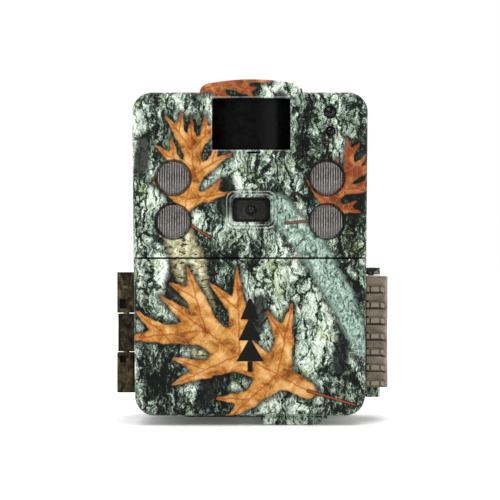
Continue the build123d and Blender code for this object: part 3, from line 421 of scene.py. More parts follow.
def wire_leaf(w, plane, edge, axis, stops):
    """Leaf colour: mottled blade, dark red ribs, pale net of small veins and dark specks."""
    mottle = w.noise(plane, 0.20, 5.0, 0.62, 0.5)
    blade = w.ramp(mottle, stops)
    net = w.cells(w.scaled(plane, (1.0, 0.8, 1.0)), 0.42)
    blade = w.mix(w.smooth(net, 0.045, 0.0, 0.0, 0.30), blade, "e9b063")
    specks = w.noise(plane, 1.1, 4.0, 0.66)
    blade = w.mix(w.smooth(specks, 0.61, 0.70, 0.0, 0.6), blade, "5a2e14")
    rib = w.smooth(axis, 0.42, 0.14, 0.0, 0.62)
    blade = w.mix(rib, blade, "8c3018")
    rim = w.smooth(edge, -0.8, -0.1, 0.0, 0.34)
    return w.mix(rim, blade, "7a4014")


def lay(w, colour, edge, top, shade, soft=0.22):
    """Lays a shape over the print, with a dark rim as wide as shade on what is under it."""
    shadow = w.smooth(edge, shade, 0.2, 0.0, 0.86)
    colour = w.mix(shadow, colour, "0b0e0b")
    return w.mix(w.smooth(edge, soft, -soft), colour, top)


def wire_conifer(w, flat):
    """Mask of a plain three-tier conifer with a short trunk."""
    middle, top, height, half = CONIFER
    x, z = w.split(flat)[:2]
    aside = w.size(w.minus(x, middle))
    share = w.math("DIVIDE", w.minus(top, z), height * 0.86)
    tier = w.times(share, 3.0)
    spread = w.math("MULTIPLY_ADD", w.math("FLOOR", tier), 0.16, 0.68)
    reach = w.times(w.math("MULTIPLY_ADD", w.math("FRACT", tier), 0.80, 0.12), half)
    reach = w.times(reach, spread)
    boughs = w.smooth(w.minus(aside, reach), 0.12, -0.12)
    ends = w.times(w.smooth(share, 0.0, 0.01), w.smooth(share, 1.0, 0.99))
    boughs = w.times(boughs, ends)
    trunk = w.times(w.smooth(aside, 0.95, 0.75), w.smooth(share, 0.98, 1.0))
    trunk = w.times(trunk, w.smooth(share, 1.17, 1.15))
    return w.most(boughs, trunk)


def wire_frame(w, x, z, middle, half, corner):
    """Distance from a rounded rectangle's outline."""
    reach = []
    for place, centre, side in zip((x, z), middle, half):
        away = w.size(w.minus(place, centre))
        reach.append(w.most(w.minus(away, side - corner), 0.0))
    return w.minus(w.vector("LENGTH", w.combine(*reach), out="Value"), corner)


def wire_ridge_light(w, colour, x, z):
    """Painted light round the openings of the upper cover.

    Painted highlights, broken up by noise, run along the ridges of the window frame and the hood's mouth,
    and painted shade lies just outside each ridge and in the chamfers of the lamp holes."""
    ridge_highlight, painted_shade = None, None
    for node, ridges in (("camera_window", WINDOW_RIDGES), ("pir_window", HOOD_RIDGES)):
        low, high = node_box(node, PER_METRE)
        middle = ((low + high) / 2)[[0, 2]]
        for wide, tall, corner, light_strength in ridges:
            away = w.size(wire_frame(w, x, z, middle, (wide, tall), corner))
            # Painted highlight along the ridge, with painted shade just outside it.
            line = w.smooth(away, 0.30, 0.05, 0.0, light_strength)
            aside = w.size(w.minus(away, 0.62))
            shade_line = w.smooth(aside, 0.36, 0.05, 0.0, light_strength * 0.8)
            ridge_highlight = line if ridge_highlight is None else w.most(ridge_highlight, line)
            painted_shade = shade_line if painted_shade is None else w.most(painted_shade, shade_line)
    for number in LAMPS:
        low, high = node_box(f"led_lens_{number}", PER_METRE)
        middle = (low + high) / 2
        away = w.vector("DISTANCE", w.combine(x, z), (middle[0], middle[2], 0.0), out="Value")
        aside = w.size(w.minus(away, LAMP_CHAMFER))
        # Painted shade in the recessed chamfer round the lamp's hole.
        painted_shade = w.most(painted_shade, w.smooth(aside, 0.62, 0.25, 0.0, 0.85))
    patchy = w.smooth(w.noise(w.combine(x, z), 0.5, 4.0, 0.6), 0.36, 0.56, 0.35, 1.0)
    # Lays the painted shade first, then the painted highlights.
    colour = w.mix(painted_shade, colour, "0d100e")
    return w.mix(w.times(ridge_highlight, patchy), colour, "cdd6d0")


def wire_inside(w, x, y, z, back):
    """Mask of the shell's inside: within its walls, and in front of its back wall if it has one."""
    inside = w.under(w.size(x), BARE_HALF)
    inside = w.times(inside, w.over(z, BARE_LOW))
    inside = w.times(inside, w.under(z, BARE_HIGH))
    if back is not None:
        inside = w.times(inside, w.under(y, back))
    return inside


def wire_hinge(w, colour, place, x, y, turned):
    """Hinge strip at the left edge: brown blotches, with painted shade, near black, where the gaps between
    the knuckles are deep.
    """
    blotch = w.noise(w.scaled(place, (1.0, 1.0, 0.7)), 0.42, 7.0, 0.68, 0.6)
    strip = w.ramp(blotch, [(0.36, "0c0b07"), (0.45, "241f13"), (0.54, "413822"),
                            (0.62, "5e5238"), (0.74, "7d7254")])
    # Painted shade, near black, in the deep gaps between the knuckles.
    deep = w.smooth(y, HINGE_FRONT, HINGE_FRONT + 0.2)
    deep = w.times(deep, w.smooth(turned, 0.5, 0.7))
    strip = w.mix(deep, strip, "060606")
    return w.mix(w.under(x, HINGE_EDGE), colour, strip)


def camouflage(name, colours, tint, leaves=True, bare=False, back=None, mark=False, lit_ridges=False):
    """Printed film over moulded plastic: bark, leaves and sticks, with a fine grain.

    bare leaves the inside of the shell unprinted and finishes the hinge strip, mark adds the conifer, and
    the last flag paints highlights along the ridges round the openings and shade just outside them."""
    material, w, shader = new_material(name)
    across, up = wire_panel(w)
    plane = w.combine(across, up)
    flat = plane
    if leaves:
        half = PRINT_REPEAT / 2
        across = w.math("FLOORED_MODULO", w.math("ADD", across, half), PRINT_REPEAT)
        flat = w.combine(w.minus(across, half), up)
        ragged = w.noise(flat, 0.34, 5.0, 0.62, out="Color")
        point = w.vector("SUBTRACT", w.scaled(ragged, (1.8, 1.8, 0.0)), (0.9, 0.9, 0.0))
        point = w.vector("ADD", point, flat)
        strokes = bpy.data.node_groups.get("tapered_stroke") or stroke_group()
        pale, _ = wire_strokes(w, strokes, point, PALE_PLACES, 2.0)
        colour, level = wire_bark(w, plane, tint, w.smooth(pale, 2.4, -1.6, 0.0, 0.085))
        colour = wire_plants(w, strokes, flat, point, colour, colours)
    else:
        colour, level = wire_bark(w, plane, tint)
    if mark:
        colour = w.mix(wire_conifer(w, flat), colour, "0e0f0e")
    place = w.place()
    x, y, z = w.split(place)
    if lit_ridges:
        # Painted highlights along the ridges round the openings, with painted shade beside them.
        colour = wire_ridge_light(w, colour, x, z)
    if bare:
        inner = w.noise(place, 0.4, 5.0, 0.6)
        turned = w.times(w.split(w.add("ShaderNodeTexCoord").outputs["Normal"])[1], -1.0)
        plain = w.ramp(inner, [(0.3, "191b19"), (0.7, "2b2e2a")])
        colour = w.mix(wire_inside(w, x, y, z, back), colour, plain)
        colour = wire_hinge(w, colour, place, x, y, turned)
    grain = w.noise(place, 3.2, 3.0, 0.6)
    relief = w.math("MULTIPLY_ADD", level, 0.5, w.times(grain, 0.35))
    coat(w, shader, colour, w.smooth(grain, 0.3, 0.7, 0.34, 0.52), w.bump(relief, 0.32, 0.00022))
    shader.inputs["Specular IOR Level"].default_value = 0.11
    return material


def wire_plants(w, group, flat, point, colour, colours):
    """The leaves, sticks and shadow patches of the print, from the lowest layer to the top."""
    dark, _ = wire_strokes(w, group, point, DARK_PLACES, 2.0)
    colour = w.mix(w.smooth(dark, 1.4, -0.6, 0.0, 0.93), colour, "0c100d")
    branch, middle = wire_strokes(w, group, point, MINT_BRANCH, 2.0)
    skin = w.noise(w.scaled(point, (1.0, 0.6, 1.0)), 1.0, 9.0, 0.74, 0.4)
    mint = w.ramp(skin, [(0.38, "1e2922"), (0.45, "54695d"), (0.52, "8fa99b"),
                         (0.60, "b6cec0"), (0.70, "e2eee4")])
    mint = w.mix(w.smooth(middle, 2.0, 4.8, 0.0, 0.45), mint, "50675a")
    torn = w.math("MULTIPLY_ADD", w.minus(skin, 0.5), 9.0, branch)
    under = colour
    colour = lay(w, colour, torn, mint, 2.6, 0.7)
    scab = w.noise(w.vector("ADD", point, (11.0, 3.0, 0.0)), 0.34, 6.0, 0.7)
    colour = w.mix(w.smooth(scab, 0.50, 0.62, 0.0, 0.85), colour, under)
    stick, middle = wire_strokes(w, group, point, PALE_STICK, 2.0)
    peel = w.noise(flat, 0.60, 9.0, 0.74, 0.3)
    cream = w.ramp(peel, [(0.36, "3d3a22"), (0.44, "8a855f"), (0.52, "b4b08e"),
                          (0.66, "e6e3cf")])
    dashes = w.noise(w.scaled(flat, (0.62, 1.5, 1.0)), 0.62, 3.0, 0.6)
    cream = w.mix(w.smooth(dashes, 0.565, 0.60, 0.0, 0.92), cream, "14140e")
    cream = w.mix(w.smooth(middle, 2.6, 5.6, 0.0, 0.7), cream, "4c4728")
    torn = w.math("MULTIPLY_ADD", w.minus(peel, 0.5), 7.0, stick)
    colour = lay(w, colour, torn, cream, 2.2, 0.5)
    bright = [(0.36, colours.leaf_dark), (0.46, colours.leaf), (0.55, colours.leaf_pale),
              (0.66, "dcae76")]
    rusty = [(0.34, "5c2a14"), (0.48, colours.leaf_rust), (0.62, "a3673c"),
             (0.74, "bd9058")]
    leaves = ((HOOD_LEAF, rusty), (RUST_LEAF, rusty), (GOLD_LEAF, bright), (LARGE_LEAF, bright))
    for outline, stops in leaves:
        edge, axis = wire_strokes(w, group, point, outline, 1.6)
        colour = lay(w, colour, edge, wire_leaf(w, flat, edge, axis, stops), 2.4)
    stalk, _ = wire_strokes(w, group, flat, LEAF_STALKS, 0.3)
    red = w.mix(w.noise(flat, 0.16, 2.0), "7a2518", "a8592c")
    return lay(w, colour, stalk, red, 0.6, 0.12)


# ---------------------------------------------------------------- the other finishes
def moulded(name, tones, rough=(0.42, 0.6), grain=0.25, scale=1.6, relief_light=False):
    """Moulded finish: mottled between three tones, fine grain, uneven sheen.

    the last flag paints shade, near black, in the hollows that a piece's own attribute crest gives, and
    painted highlights in the pale tone on the shoulders beside them."""
    material, w, shader = new_material(name)
    place = w.place()
    cloud = w.noise(place, 0.16, 4.0, 0.6, 0.3)
    fine = w.noise(place, scale, 5.0, 0.62)
    tone = w.math("MULTIPLY_ADD", w.minus(fine, 0.5), 0.45, cloud)
    dark, middle, pale = tones
    colour = w.ramp(tone, [(0.34, dark), (0.50, middle), (0.68, pale)])
    if relief_light:
        crest = w.attribute("crest")
        # Painted shade in the hollows of the relief and a painted highlight on its shoulders.
        colour = w.mix(w.smooth(crest, 0.55, 0.05), colour, "1c1813")
        shoulder_highlight = w.times(w.smooth(crest, 0.45, 0.8), w.smooth(crest, 0.98, 0.8))
        colour = w.mix(shoulder_highlight, colour, pale)
    coat(w, shader, colour, w.smooth(fine, 0.3, 0.7, *rough), w.bump(fine, grain, 0.00012))
    return material


def sensor_film():
    """Milky black infrared film: moulded lens rings show faintly in its gloss."""
    material, w, shader = new_material("sensor_film")
    place = w.place()
    x, _, z = w.split(place)
    wave = w.math("SINE", w.times(x, 5.6))
    lattice = w.times(w.math("SINE", w.times(z, 1.5)), 0.4)
    haze = w.noise(place, 0.5, 4.0)
    coat(w, shader, w.ramp(haze, [(0.3, "040405"), (0.7, "0a0a0b")]),
         w.smooth(haze, 0.3, 0.7, 0.24, 0.36), w.bump(w.math("ADD", wave, lattice), 0.05, 0.00008))
    shader.inputs["Specular IOR Level"].default_value = 0.06
    return material


def tinted_glass(name, tones, rough=0.04, index=1.49):
    """Solid clear part, tinted, with a faint haze."""
    material, w, shader = new_material(name)
    haze = w.noise(w.scaled(w.place(), (1.0, 1.0, 0.4)), 0.9, 5.0)
    w.feed(shader.inputs["Base Color"], w.ramp(haze, [(0.3, tones[0]), (0.7, tones[1])]))
    w.feed(shader.inputs["Roughness"], w.smooth(haze, 0.35, 0.75, rough, rough + 0.06))
    shader.inputs["Transmission Weight"].default_value = 1.0
    shader.inputs["IOR"].default_value = index
    return material


def smoked_window(name, tones, cover):
    """Thin smoked window: dark and glossy, and partly seen through; cover is how much it hides."""
    material, w, shader = new_material(name)
    haze = w.noise(w.scaled(w.place(), (1.0, 1.0, 0.4)), 0.6, 5.0)
    w.feed(shader.inputs["Base Color"], w.ramp(haze, [(0.3, tones[0]), (0.7, tones[1])]))
    w.feed(shader.inputs["Roughness"], w.smooth(haze, 0.35, 0.75, 0.06, 0.14))
    shader.inputs["Alpha"].default_value = cover
    shader.inputs["Specular IOR Level"].default_value = 0.4
    return material


def lamp_lens():
    """Frosted lamp lens: dark taupe, with painted highlights on the crests of its ribs and painted shade in
    the grooves.
    """
    material, w, shader = new_material("lamp_lens")
    speck = w.noise(w.scaled(w.place(), (1.0, 1.0, 0.5)), 1.5, 4.0, 0.7)
    # The ramp runs from painted shade in the grooves to painted highlights on the crests of the ribs.
    level = w.math("MULTIPLY_ADD", w.minus(speck, 0.5), 0.9, w.attribute("crest"))
    colour = w.ramp(level, [(0.10, "12110f"), (0.45, "302d29"), (0.80, "5a564f"),
                            (1.0, "96918a")])
    coat(w, shader, colour, w.smooth(speck, 0.3, 0.7, 0.16, 0.30), w.bump(speck, 0.08, 0.0001))
    shader.inputs["Coat Weight"].default_value = 0.5
    shader.inputs["Coat Roughness"].default_value = 0.08
    return material


def brushed_metal(name, tones, rough, stretch):
    """Turned or drawn metal with fine lines and slight stains."""
    material, w, shader = new_material(name)
    place = w.place()
    lines = w.noise(w.scaled(place, stretch), 2.0, 5.0, 0.7)
    stain = w.noise(place, 0.35, 4.0)
    level = w.math("MULTIPLY_ADD", w.minus(lines, 0.5), 0.6, stain)
    coat(w, shader, w.ramp(level, [(0.3, tones[0]), (0.7, tones[1])]),
         w.smooth(level, 0.3, 0.7, *rough), w.bump(lines, 0.12, 0.00008))
    shader.inputs["Metallic"].default_value = 1.0
    return material


def board_finish():
    """Green solder mask over copper runs, with tinned pads and small holes."""
    material, w, shader = new_material("circuit_board")
    place = w.place()
    runs = w.cells(place, 0.42, random=0.35)
    track = w.smooth(runs, 0.10, 0.07)
    pads = w.cells(place, 0.75, "F1", random=0.25)
    pad = w.smooth(pads, 0.20, 0.16)
    mask = w.mix(track, "0d3b25", "1d6a42")
    coat(w, shader, w.mix(pad, mask, "b9b7ab"), w.blend(pad, 0.42, 0.28),
         w.bump(w.math("ADD", track, pad), 0.3, 0.00006))
    w.feed(shader.inputs["Metallic"], w.times(pad, 0.8))
    return material


def cell_wrap():
    """Printed sleeve of a battery cell: black with a copper band near the button end."""
    material, w, shader = new_material("cell_wrap")
    place = w.place()
    aside = w.size(w.split(place)[0])
    scuff = w.noise(w.scaled(place, (0.3, 1.0, 1.0)), 1.2, 5.0, 0.7)
    band = w.smooth(w.size(w.minus(aside, CELL_BAND)), 3.2, 3.0)
    metal = w.smooth(aside, CELL_END, CELL_END + 0.2)
    wrap = w.mix(band, w.ramp(scuff, [(0.3, "14161a"), (0.7, "2a2d33")]),
                 w.ramp(scuff, [(0.3, "8a4b22"), (0.7, "bf7636")]))
    coat(w, shader, w.mix(metal, wrap, "c9c8c2"), w.smooth(scuff, 0.3, 0.7, 0.22, 0.36),
         w.bump(scuff, 0.05, 0.00006))
    w.feed(shader.inputs["Metallic"], w.most(metal, w.times(band, 0.7)))
    return material


def display_face():
    """Switched-off display, with a faint weave of dots."""
    material, w, shader = new_material("display_face")
    place = w.place()
    x, _, z = w.split(place)
    weave = w.times(w.math("SINE", w.times(x, 22.0)),
                   w.math("SINE", w.times(z, 22.0)))
    haze = w.noise(place, 0.3, 4.0)
    coat(w, shader, w.ramp(haze, [(0.3, "0c1013"), (0.7, "1b2328")]),
         w.smooth(haze, 0.3, 0.7, 0.10, 0.2), w.bump(weave, 0.04, 0.00004))
    return material


# ---------------------------------------------------------------- surfaces
def make_piece(name, corners, faces, body, replaced=(), smooth=True):
    """New mesh piece from arrays of corners and faces, riding on a body."""
    mesh = bpy.data.meshes.new(name)
    mesh.from_pydata(np.asarray(corners, dtype=float).tolist(), [], [list(face) for face in faces])
    mesh.update()
    mesh.polygons.foreach_set("use_smooth", np.full(len(mesh.polygons), smooth))
    piece = bpy.data.objects.new(name, mesh)
    bpy.context.scene.collection.objects.link(piece)
    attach(piece, body)
    if replaced:
        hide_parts(*replaced)
    return piece


def keep_crest(piece, heights):
    """Keeps the relief's height at each corner as the attribute crest, which places painted shade and
    painted highlights in the finishes.
    """
    layer = piece.data.attributes.new("crest", "FLOAT", "POINT")
    layer.data.foreach_set("value", heights.astype(np.float32))


def grid_faces(rows, columns, wrap=False):
    """Quads between the rows of a grid of points; wrap joins the last column to the first."""
    across = columns if wrap else columns - 1
    row, column = np.meshgrid(np.arange(rows - 1), np.arange(across), indexing="ij")
    near = row * columns + column
    side = row * columns + (column + 1) % columns
    return np.stack([near, side, side + columns, near + columns], axis=-1).reshape(-1, 4)


def ribbed_lens(name, number, ribs, depth, crown):
    """Round lamp lens with upright ribs.

    On a disc of rings the front stands out as the crown times (1 - r squared), plus the rib's
    depth times the size of the cosine of the place across, to the power 0.8, less a half, faded
    to nothing at the rim; a short wall and a flat back close it."""
    node = f"led_lens_{number}"
    low, high = node_box(node)
    middle = (low + high) / 2
    radius = (high[0] - low[0]) / 2 - LENS_FLANGE
    rings, spokes = 44, 120
    share, angle = np.meshgrid(np.linspace(0.0, 1.0, rings)[1:],
                               np.linspace(0.0, 2 * np.pi, spokes, endpoint=False), indexing="ij")
    x, z = share * np.cos(angle), share * np.sin(angle)
    fade = np.clip((1.0 - share) / 0.05, 0.0, 1.0)
    wave = np.cos(x * ribs * np.pi / 2)
    proud = crown * (1.0 - share ** 2) + depth * (np.abs(wave) ** 0.8 - 0.5) * fade
    top = low[1] + crown + depth / 2
    front = np.stack([middle[0] + radius * x, top - proud, middle[2] + radius * z], axis=-1)
    front = front.reshape(-1, 3)
    rim = front[-spokes:].copy()
    rim[:, 1] = high[1]
    centre = np.array([[middle[0], top - crown - depth / 2, middle[2]], [middle[0], high[1], middle[2]]])
    corners = np.vstack([front, rim, centre])
    around = np.arange(spokes)
    following = (around + 1) % spokes
    hub = len(front) + spokes
    fan = np.stack([np.full(spokes, hub), around, following], axis=-1)
    back = np.stack([np.full(spokes, hub + 1), len(front) + following, len(front) + around], axis=-1)
    faces = grid_faces(rings, spokes, wrap=True).tolist() + fan.tolist() + back.tolist()
    piece = make_piece(name, corners, faces, "door", (node,))
    # The crest attribute places the painted highlights on the ribs and the painted shade between them.
    keep_crest(piece, np.concatenate([np.abs(wave).ravel() ** 2, np.zeros(spokes), [1.0, 0.0]]))


def closed_slab(front, back):
    """Corners and faces of a closed slab between two grids of points of the same shape."""
    rows, columns = front.shape[:2]
    count = rows * columns
    face = grid_faces(rows, columns)
    index = np.arange(count).reshape(rows, columns)
    edge = np.concatenate([index[0, :-1], index[:-1, -1], index[-1, :0:-1], index[:0:-1, 0]])
    following = np.roll(edge, -1)
    wall = np.stack([edge, edge + count, following + count, following], axis=-1)
    corners = np.vstack([front.reshape(-1, 3), back.reshape(-1, 3)])
    return corners, np.vstack([face, face[:, ::-1] + count, wall])


def plateau(value, start, end, soft=0.03):
    """One between start and end and nothing outside, with a smooth step just inside each."""
    rise = np.clip((value - start) / soft, 0.0, 1.0)
    fall = np.clip((end - value) / soft, 0.0, 1.0)
    step_up = np.minimum(rise, fall)
    return step_up * step_up * (3.0 - 2.0 * step_up)


def latch_grip(bars, groove):
    """Ribbed skin on the front of the latch lever.

    Across is u and down one pitch is v, both from 0 to 1. Each pitch has a full-width bar and,
    under it, a row of two side fingers and a middle pad; heights are products of smooth steps,
    and they fall to nothing at the lever's edges. Bars droop a little towards the outer side."""
    low, high = node_box("latch_lever")
    rows, columns = bars * 30 + 1, 81
    down, across = np.meshgrid(
        np.linspace(0.0, 1.0, rows), np.linspace(0.0, 1.0, columns), indexing="ij")
    droop = 0.12 * np.clip((across - 0.72) / 0.28, 0.0, 1.0) ** 2
    pitch = (down * bars - droop) % 1.0
    bar = plateau(pitch, 0.05, 0.52, 0.06)
    fingers = plateau(across, 0.0, 0.20) + plateau(across, 0.245, 0.70) + plateau(across, 0.745, 1.0)
    row = plateau(pitch, 0.585, 0.97, 0.06) * fingers * 0.8
    height = np.maximum(bar, row) * plateau(across, 0.0, 1.0, 0.06) * plateau(down, 0.0, 1.0, 0.004)
    inset = 0.25 * MM
    x = low[0] + inset + (high[0] - low[0] - 1.25 * MM) * across
    z = high[2] - inset - (high[2] - low[2] - 2 * inset) * down
    front = np.stack([x, low[1] + 0.1 * MM - groove * height, z], axis=-1)
    back = np.stack([x, np.full_like(x, low[1] + 0.5 * MM), z], axis=-1)
    corners, faces = closed_slab(front[::-1], back[::-1])
    piece = make_piece("latch_grip", corners, faces, "latch", ())
    # The crest attribute places the painted shade in the grooves and the painted highlights on the
    # shoulders.
    keep_crest(piece, np.concatenate([height[::-1].ravel(), np.zeros(height.size)]))


# ---------------------------------------------------------------- sizes and colours a user may change
def colour_setting(name, description, default):
    """Setting for one colour."""
    return bpy.props.FloatVectorProperty(name=name, description=description, default=default,
                                         subtype="COLOR", size=3, min=0.0, max=1.0)


def length_setting(name, description, default, lowest=0.0):
    """Setting for one length."""
    return bpy.props.FloatProperty(name=name, description=description, default=default, min=lowest,
                                   unit="LENGTH")


class TRAILCAM_PG_print(bpy.types.PropertyGroup):
    """Colours of the printed film."""

    tint: colour_setting("Bark tint", "Colour laid over the bark of the covers", (0.92, 0.96, 0.93))
    case_tint: colour_setting("Case tint", "Colour laid over the bark of the rear case", (0.86, 0.93, 0.84))
    leaf: colour_setting("Leaf", "Main colour of the bright leaves", srgb("aa6f2c"))
    leaf_dark: colour_setting("Leaf, dark", "Darkest colour of the bright leaves", srgb("6e3d18"))
    leaf_pale: colour_setting("Leaf, pale", "Palest colour of the bright leaves", srgb("c29150"))
    leaf_rust: colour_setting("Leaf, rust", "Main colour of the old leaves", srgb("7a4627"))


class TRAILCAM_PG_lamp(bpy.types.PropertyGroup):
    """Ribs of the infrared lamp lenses."""

    ribs: bpy.props.IntProperty(name="Ribs", description="Ribs across a lens", default=13, min=4, max=40)
    rib_depth: length_setting("Rib depth", "Height of a rib over its grooves", 0.35 * MM)
    crown: length_setting("Crown", "How far the middle of a lens stands over its rim", 0.45 * MM)


class TRAILCAM_PG_latch(bpy.types.PropertyGroup):
    """Ribbed grip of the latch lever."""

    bars: bpy.props.IntProperty(
        name="Bars", description="Raised bars along the lever", default=7, min=3, max=20)
    groove: length_setting("Groove depth", "Depth of the grooves between bars", 0.7 * MM)


class TRAILCAM_PG_stage(bpy.types.PropertyGroup):
    """Camera, floor and light."""

    distance: length_setting("Distance", "From the camera to the front covers", 0.7, 0.1)
    field: length_setting("Field", "Width of the view at the front covers", 0.165, 0.01)
    aim: length_setting("Aim", "Height of the middle of the view over the floor", 0.05808)
    light: bpy.props.FloatProperty(
        name="Light", description="Brightness of the whole stage", default=1.0, min=0.0)


# ---------------------------------------------------------------- one operator for each group of pieces
class PieceOperator:
    """Shared settings of the operators that finish or build pieces."""

    bl_options = {"REGISTER", "UNDO"}

    def execute(self, context):
        self.build(context.scene)
        return {"FINISHED"}


class TRAILCAM_OT_covers(PieceOperator, bpy.types.Operator):
    """Print the bark and oak leaves on the front covers and the shell behind them"""

    bl_idname = "trailcam.covers"
    bl_label = "Printed covers"

    def build(self, scene):
        colours = scene.trailcam_print
        for node, name, extra in (("upper_faceplate", "printed_upper_cover", {"lit_ridges": True}),
                                  ("lower_cover", "printed_lower_cover", {"mark": True}),
                                  ("front_housing", "printed_housing", {"bare": True})):
            dress([node], camouflage(name, colours, colours.tint, **extra))


class TRAILCAM_OT_rear_case(PieceOperator, bpy.types.Operator):
    """Finish the rear case, its gasket, its tripod insert and the pins"""

    bl_idname = "trailcam.rear_case"
    bl_label = "Rear case"

    def build(self, scene):
        colours = scene.trailcam_print
        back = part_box("rear_case")[1][1] * PER_METRE - RAIL_DEPTH - HALF_WALL
        dress(["rear_case"], camouflage("printed_case", colours, colours.case_tint, bare=True, back=back))
        dress(["case_gasket", "tray_seal", "window_seal"], moulded(
            "seal_rubber", ("0c0c0d", "161617", "242425"), (0.62, 0.8), 0.4))
        dress(["tripod_insert"], brushed_metal(
            "turned_brass", ("8c6a2c", "d9b566"), (0.22, 0.38), (0.4, 0.4, 3.0)))
        dress(["hinge_pin", "latch_pin"], brushed_metal(
            "pin_steel", ("6d6d6e", "b9b9b8"), (0.2, 0.36), (1.0, 1.0, 0.1)))


class TRAILCAM_OT_sensor(PieceOperator, bpy.types.Operator):
    """Finish the motion sensor's curved window, the sensor behind it and the microphone"""

    bl_idname = "trailcam.sensor"
    bl_label = "Motion sensor"

    def build(self, scene):
        dress(["pir_window"], sensor_film())
        dress(["pir_sensor", "microphone"], brushed_metal(
            "can_steel", ("8d8d8a", "c9c9c4"), (0.25, 0.4), (0.5, 3.0, 0.5)))


class TRAILCAM_OT_camera_eye(PieceOperator, bpy.types.Operator):
    """Finish the camera's window, lens, holder and night filter"""

    bl_idname = "trailcam.camera_eye"
    bl_label = "Camera eye"

    def build(self, scene):
        dress(["camera_window"], smoked_window("window_smoke", ("0d0d0d", "181817"), 0.34))
        dress(["lens_elements"], tinted_glass("lens_glass", ("b7c4cf", "d0d9e2"), 0.01, 1.6))
        dress(["lens_barrel", "lens_holder", "ir_filter_frame"], moulded(
            "lens_black", ("454443", "676664", "8b8a86"), (0.3, 0.46), 0.3))
        dress(["ir_filter_glass"], tinted_glass("filter_glass", ("7fb7b0", "9fcfc9"), 0.01))


class TRAILCAM_OT_lamps(PieceOperator, bpy.types.Operator):
    """Finish the infrared lamps and the two small eyes at the upper right"""

    bl_idname = "trailcam.lamps"
    bl_label = "Lamps and small eyes"

    def build(self, scene):
        lens = lamp_lens()
        sizes = scene.trailcam_lamp
        for number in LAMPS:
            name = f"ribbed_lens_{number}"
            ribbed_lens(name, number, sizes.ribs, sizes.rib_depth, sizes.crown)
            dress([name], lens)
        dress(["led_reflectors"], brushed_metal(
            "reflector_chrome", ("9d9d9b", "dededb"), (0.08, 0.2), (1.0, 1.0, 1.0)))
        dress(["ir_leds", "light_sensor", "indicator_led"], tinted_glass(
            "lamp_resin", ("9a9aa0", "c9c9cf"), 0.08))
        dress(["light_sensor_lens", "indicator_lens"], smoked_window("eye_smoke", ("08080a", "121214"), 0.6))


class TRAILCAM_OT_latch(PieceOperator, bpy.types.Operator):
    """Build the latch lever's ribbed grip and finish both"""

    bl_idname = "trailcam.latch"
    bl_label = "Latch lever"

    def build(self, scene):
        sizes = scene.trailcam_latch
        latch_grip(sizes.bars, sizes.groove)
        tones = ("594d3f", "776a59", "8d806d")
        dress(["latch_lever"], moulded("latch_brown", tones, (0.42, 0.58), 0.35))
        dress(["latch_grip"], moulded("latch_grip_brown", tones, (0.42, 0.58), 0.35, relief_light=True))


class TRAILCAM_OT_controls(PieceOperator, bpy.types.Operator):
    """Finish the control panel, its display, its keys and the memory card"""

    bl_idname = "trailcam.controls"
    bl_label = "Controls"

    def build(self, scene):
        dress(["control_panel"], moulded(
            "panel_black", ("101112", "1a1b1c", "28292a"), (0.46, 0.62), 0.35, scale=3.0))
        dress(["mode_button", "up_button", "down_button", "enter_button", "power_switch"], moulded(
            "key_grey", ("4a4d4f", "6a6e70", "878b8d"), (0.5, 0.66), 0.2))
        dress(["screen_module"], display_face())
        dress(["screen_window"], smoked_window("screen_gloss", ("1a1d20", "26292d"), 0.25))
        dress(["sd_socket"], brushed_metal(
            "socket_steel", ("8b8d8e", "cfd0cf"), (0.22, 0.36), (0.3, 1.0, 3.0)))
        dress(["sd_card"], moulded("card_blue", ("12325e", "1d4c8c", "2f66ad"), (0.4, 0.55), 0.2))


class TRAILCAM_OT_boards(PieceOperator, bpy.types.Operator):
    """Finish the circuit boards and what is soldered on them"""

    bl_idname = "trailcam.boards"
    bl_label = "Circuit boards"

    def build(self, scene):
        dress(["main_board", "camera_board", "led_boards", "pir_board"], board_finish())
        dress(["processor_chips", "image_sensor", "tact_switches", "slide_switch_body"], moulded(
            "chip_resin", ("0e0f10", "1a1b1c", "303132"), (0.5, 0.64), 0.25, scale=3.0))
        dress(["main_capacitors", "clock_battery"], brushed_metal(
            "can_aluminium", ("8f9193", "d2d3d4"), (0.2, 0.34), (0.6, 2.0, 0.6)))


class TRAILCAM_OT_battery_tray(PieceOperator, bpy.types.Operator):
    """Finish the battery tray, its cells, springs and contacts"""

    bl_idname = "trailcam.battery_tray"
    bl_label = "Battery tray"

    def build(self, scene):
        colours = scene.trailcam_print
        dress(["battery_tray"], camouflage("printed_tray", colours, colours.tint, leaves=False, bare=True))
        dress(["battery_cells"], cell_wrap())
        dress(["cell_springs"], brushed_metal(
            "spring_steel", ("8a8c8f", "cdd0d2"), (0.16, 0.3), (1.0, 1.0, 1.0)))
        dress(["contact_plates", "bay_terminals"], brushed_metal(
            "contact_nickel", ("a09a86", "dcd6c2"), (0.18, 0.32), (2.0, 1.0, 0.4)))


class TRAILCAM_OT_fastenings(PieceOperator, bpy.types.Operator):
    """Finish the screws, the power jack and its rubber plug"""

    bl_idname = "trailcam.fastenings"
    bl_label = "Screws and jack"

    def build(self, scene):
        dress(["cover_screws", "panel_screws"], brushed_metal(
            "screw_zinc", ("6f7072", "b5b6b7"), (0.26, 0.42), (1.0, 1.0, 1.0)))
        dress(["power_jack"], moulded("jack_black", ("0d0d0e", "19191a", "2a2a2b"), (0.4, 0.55), 0.25))
        dress(["jack_plug"], moulded("plug_rubber", ("141412", "23221f", "35332e"), (0.62, 0.8), 0.4))


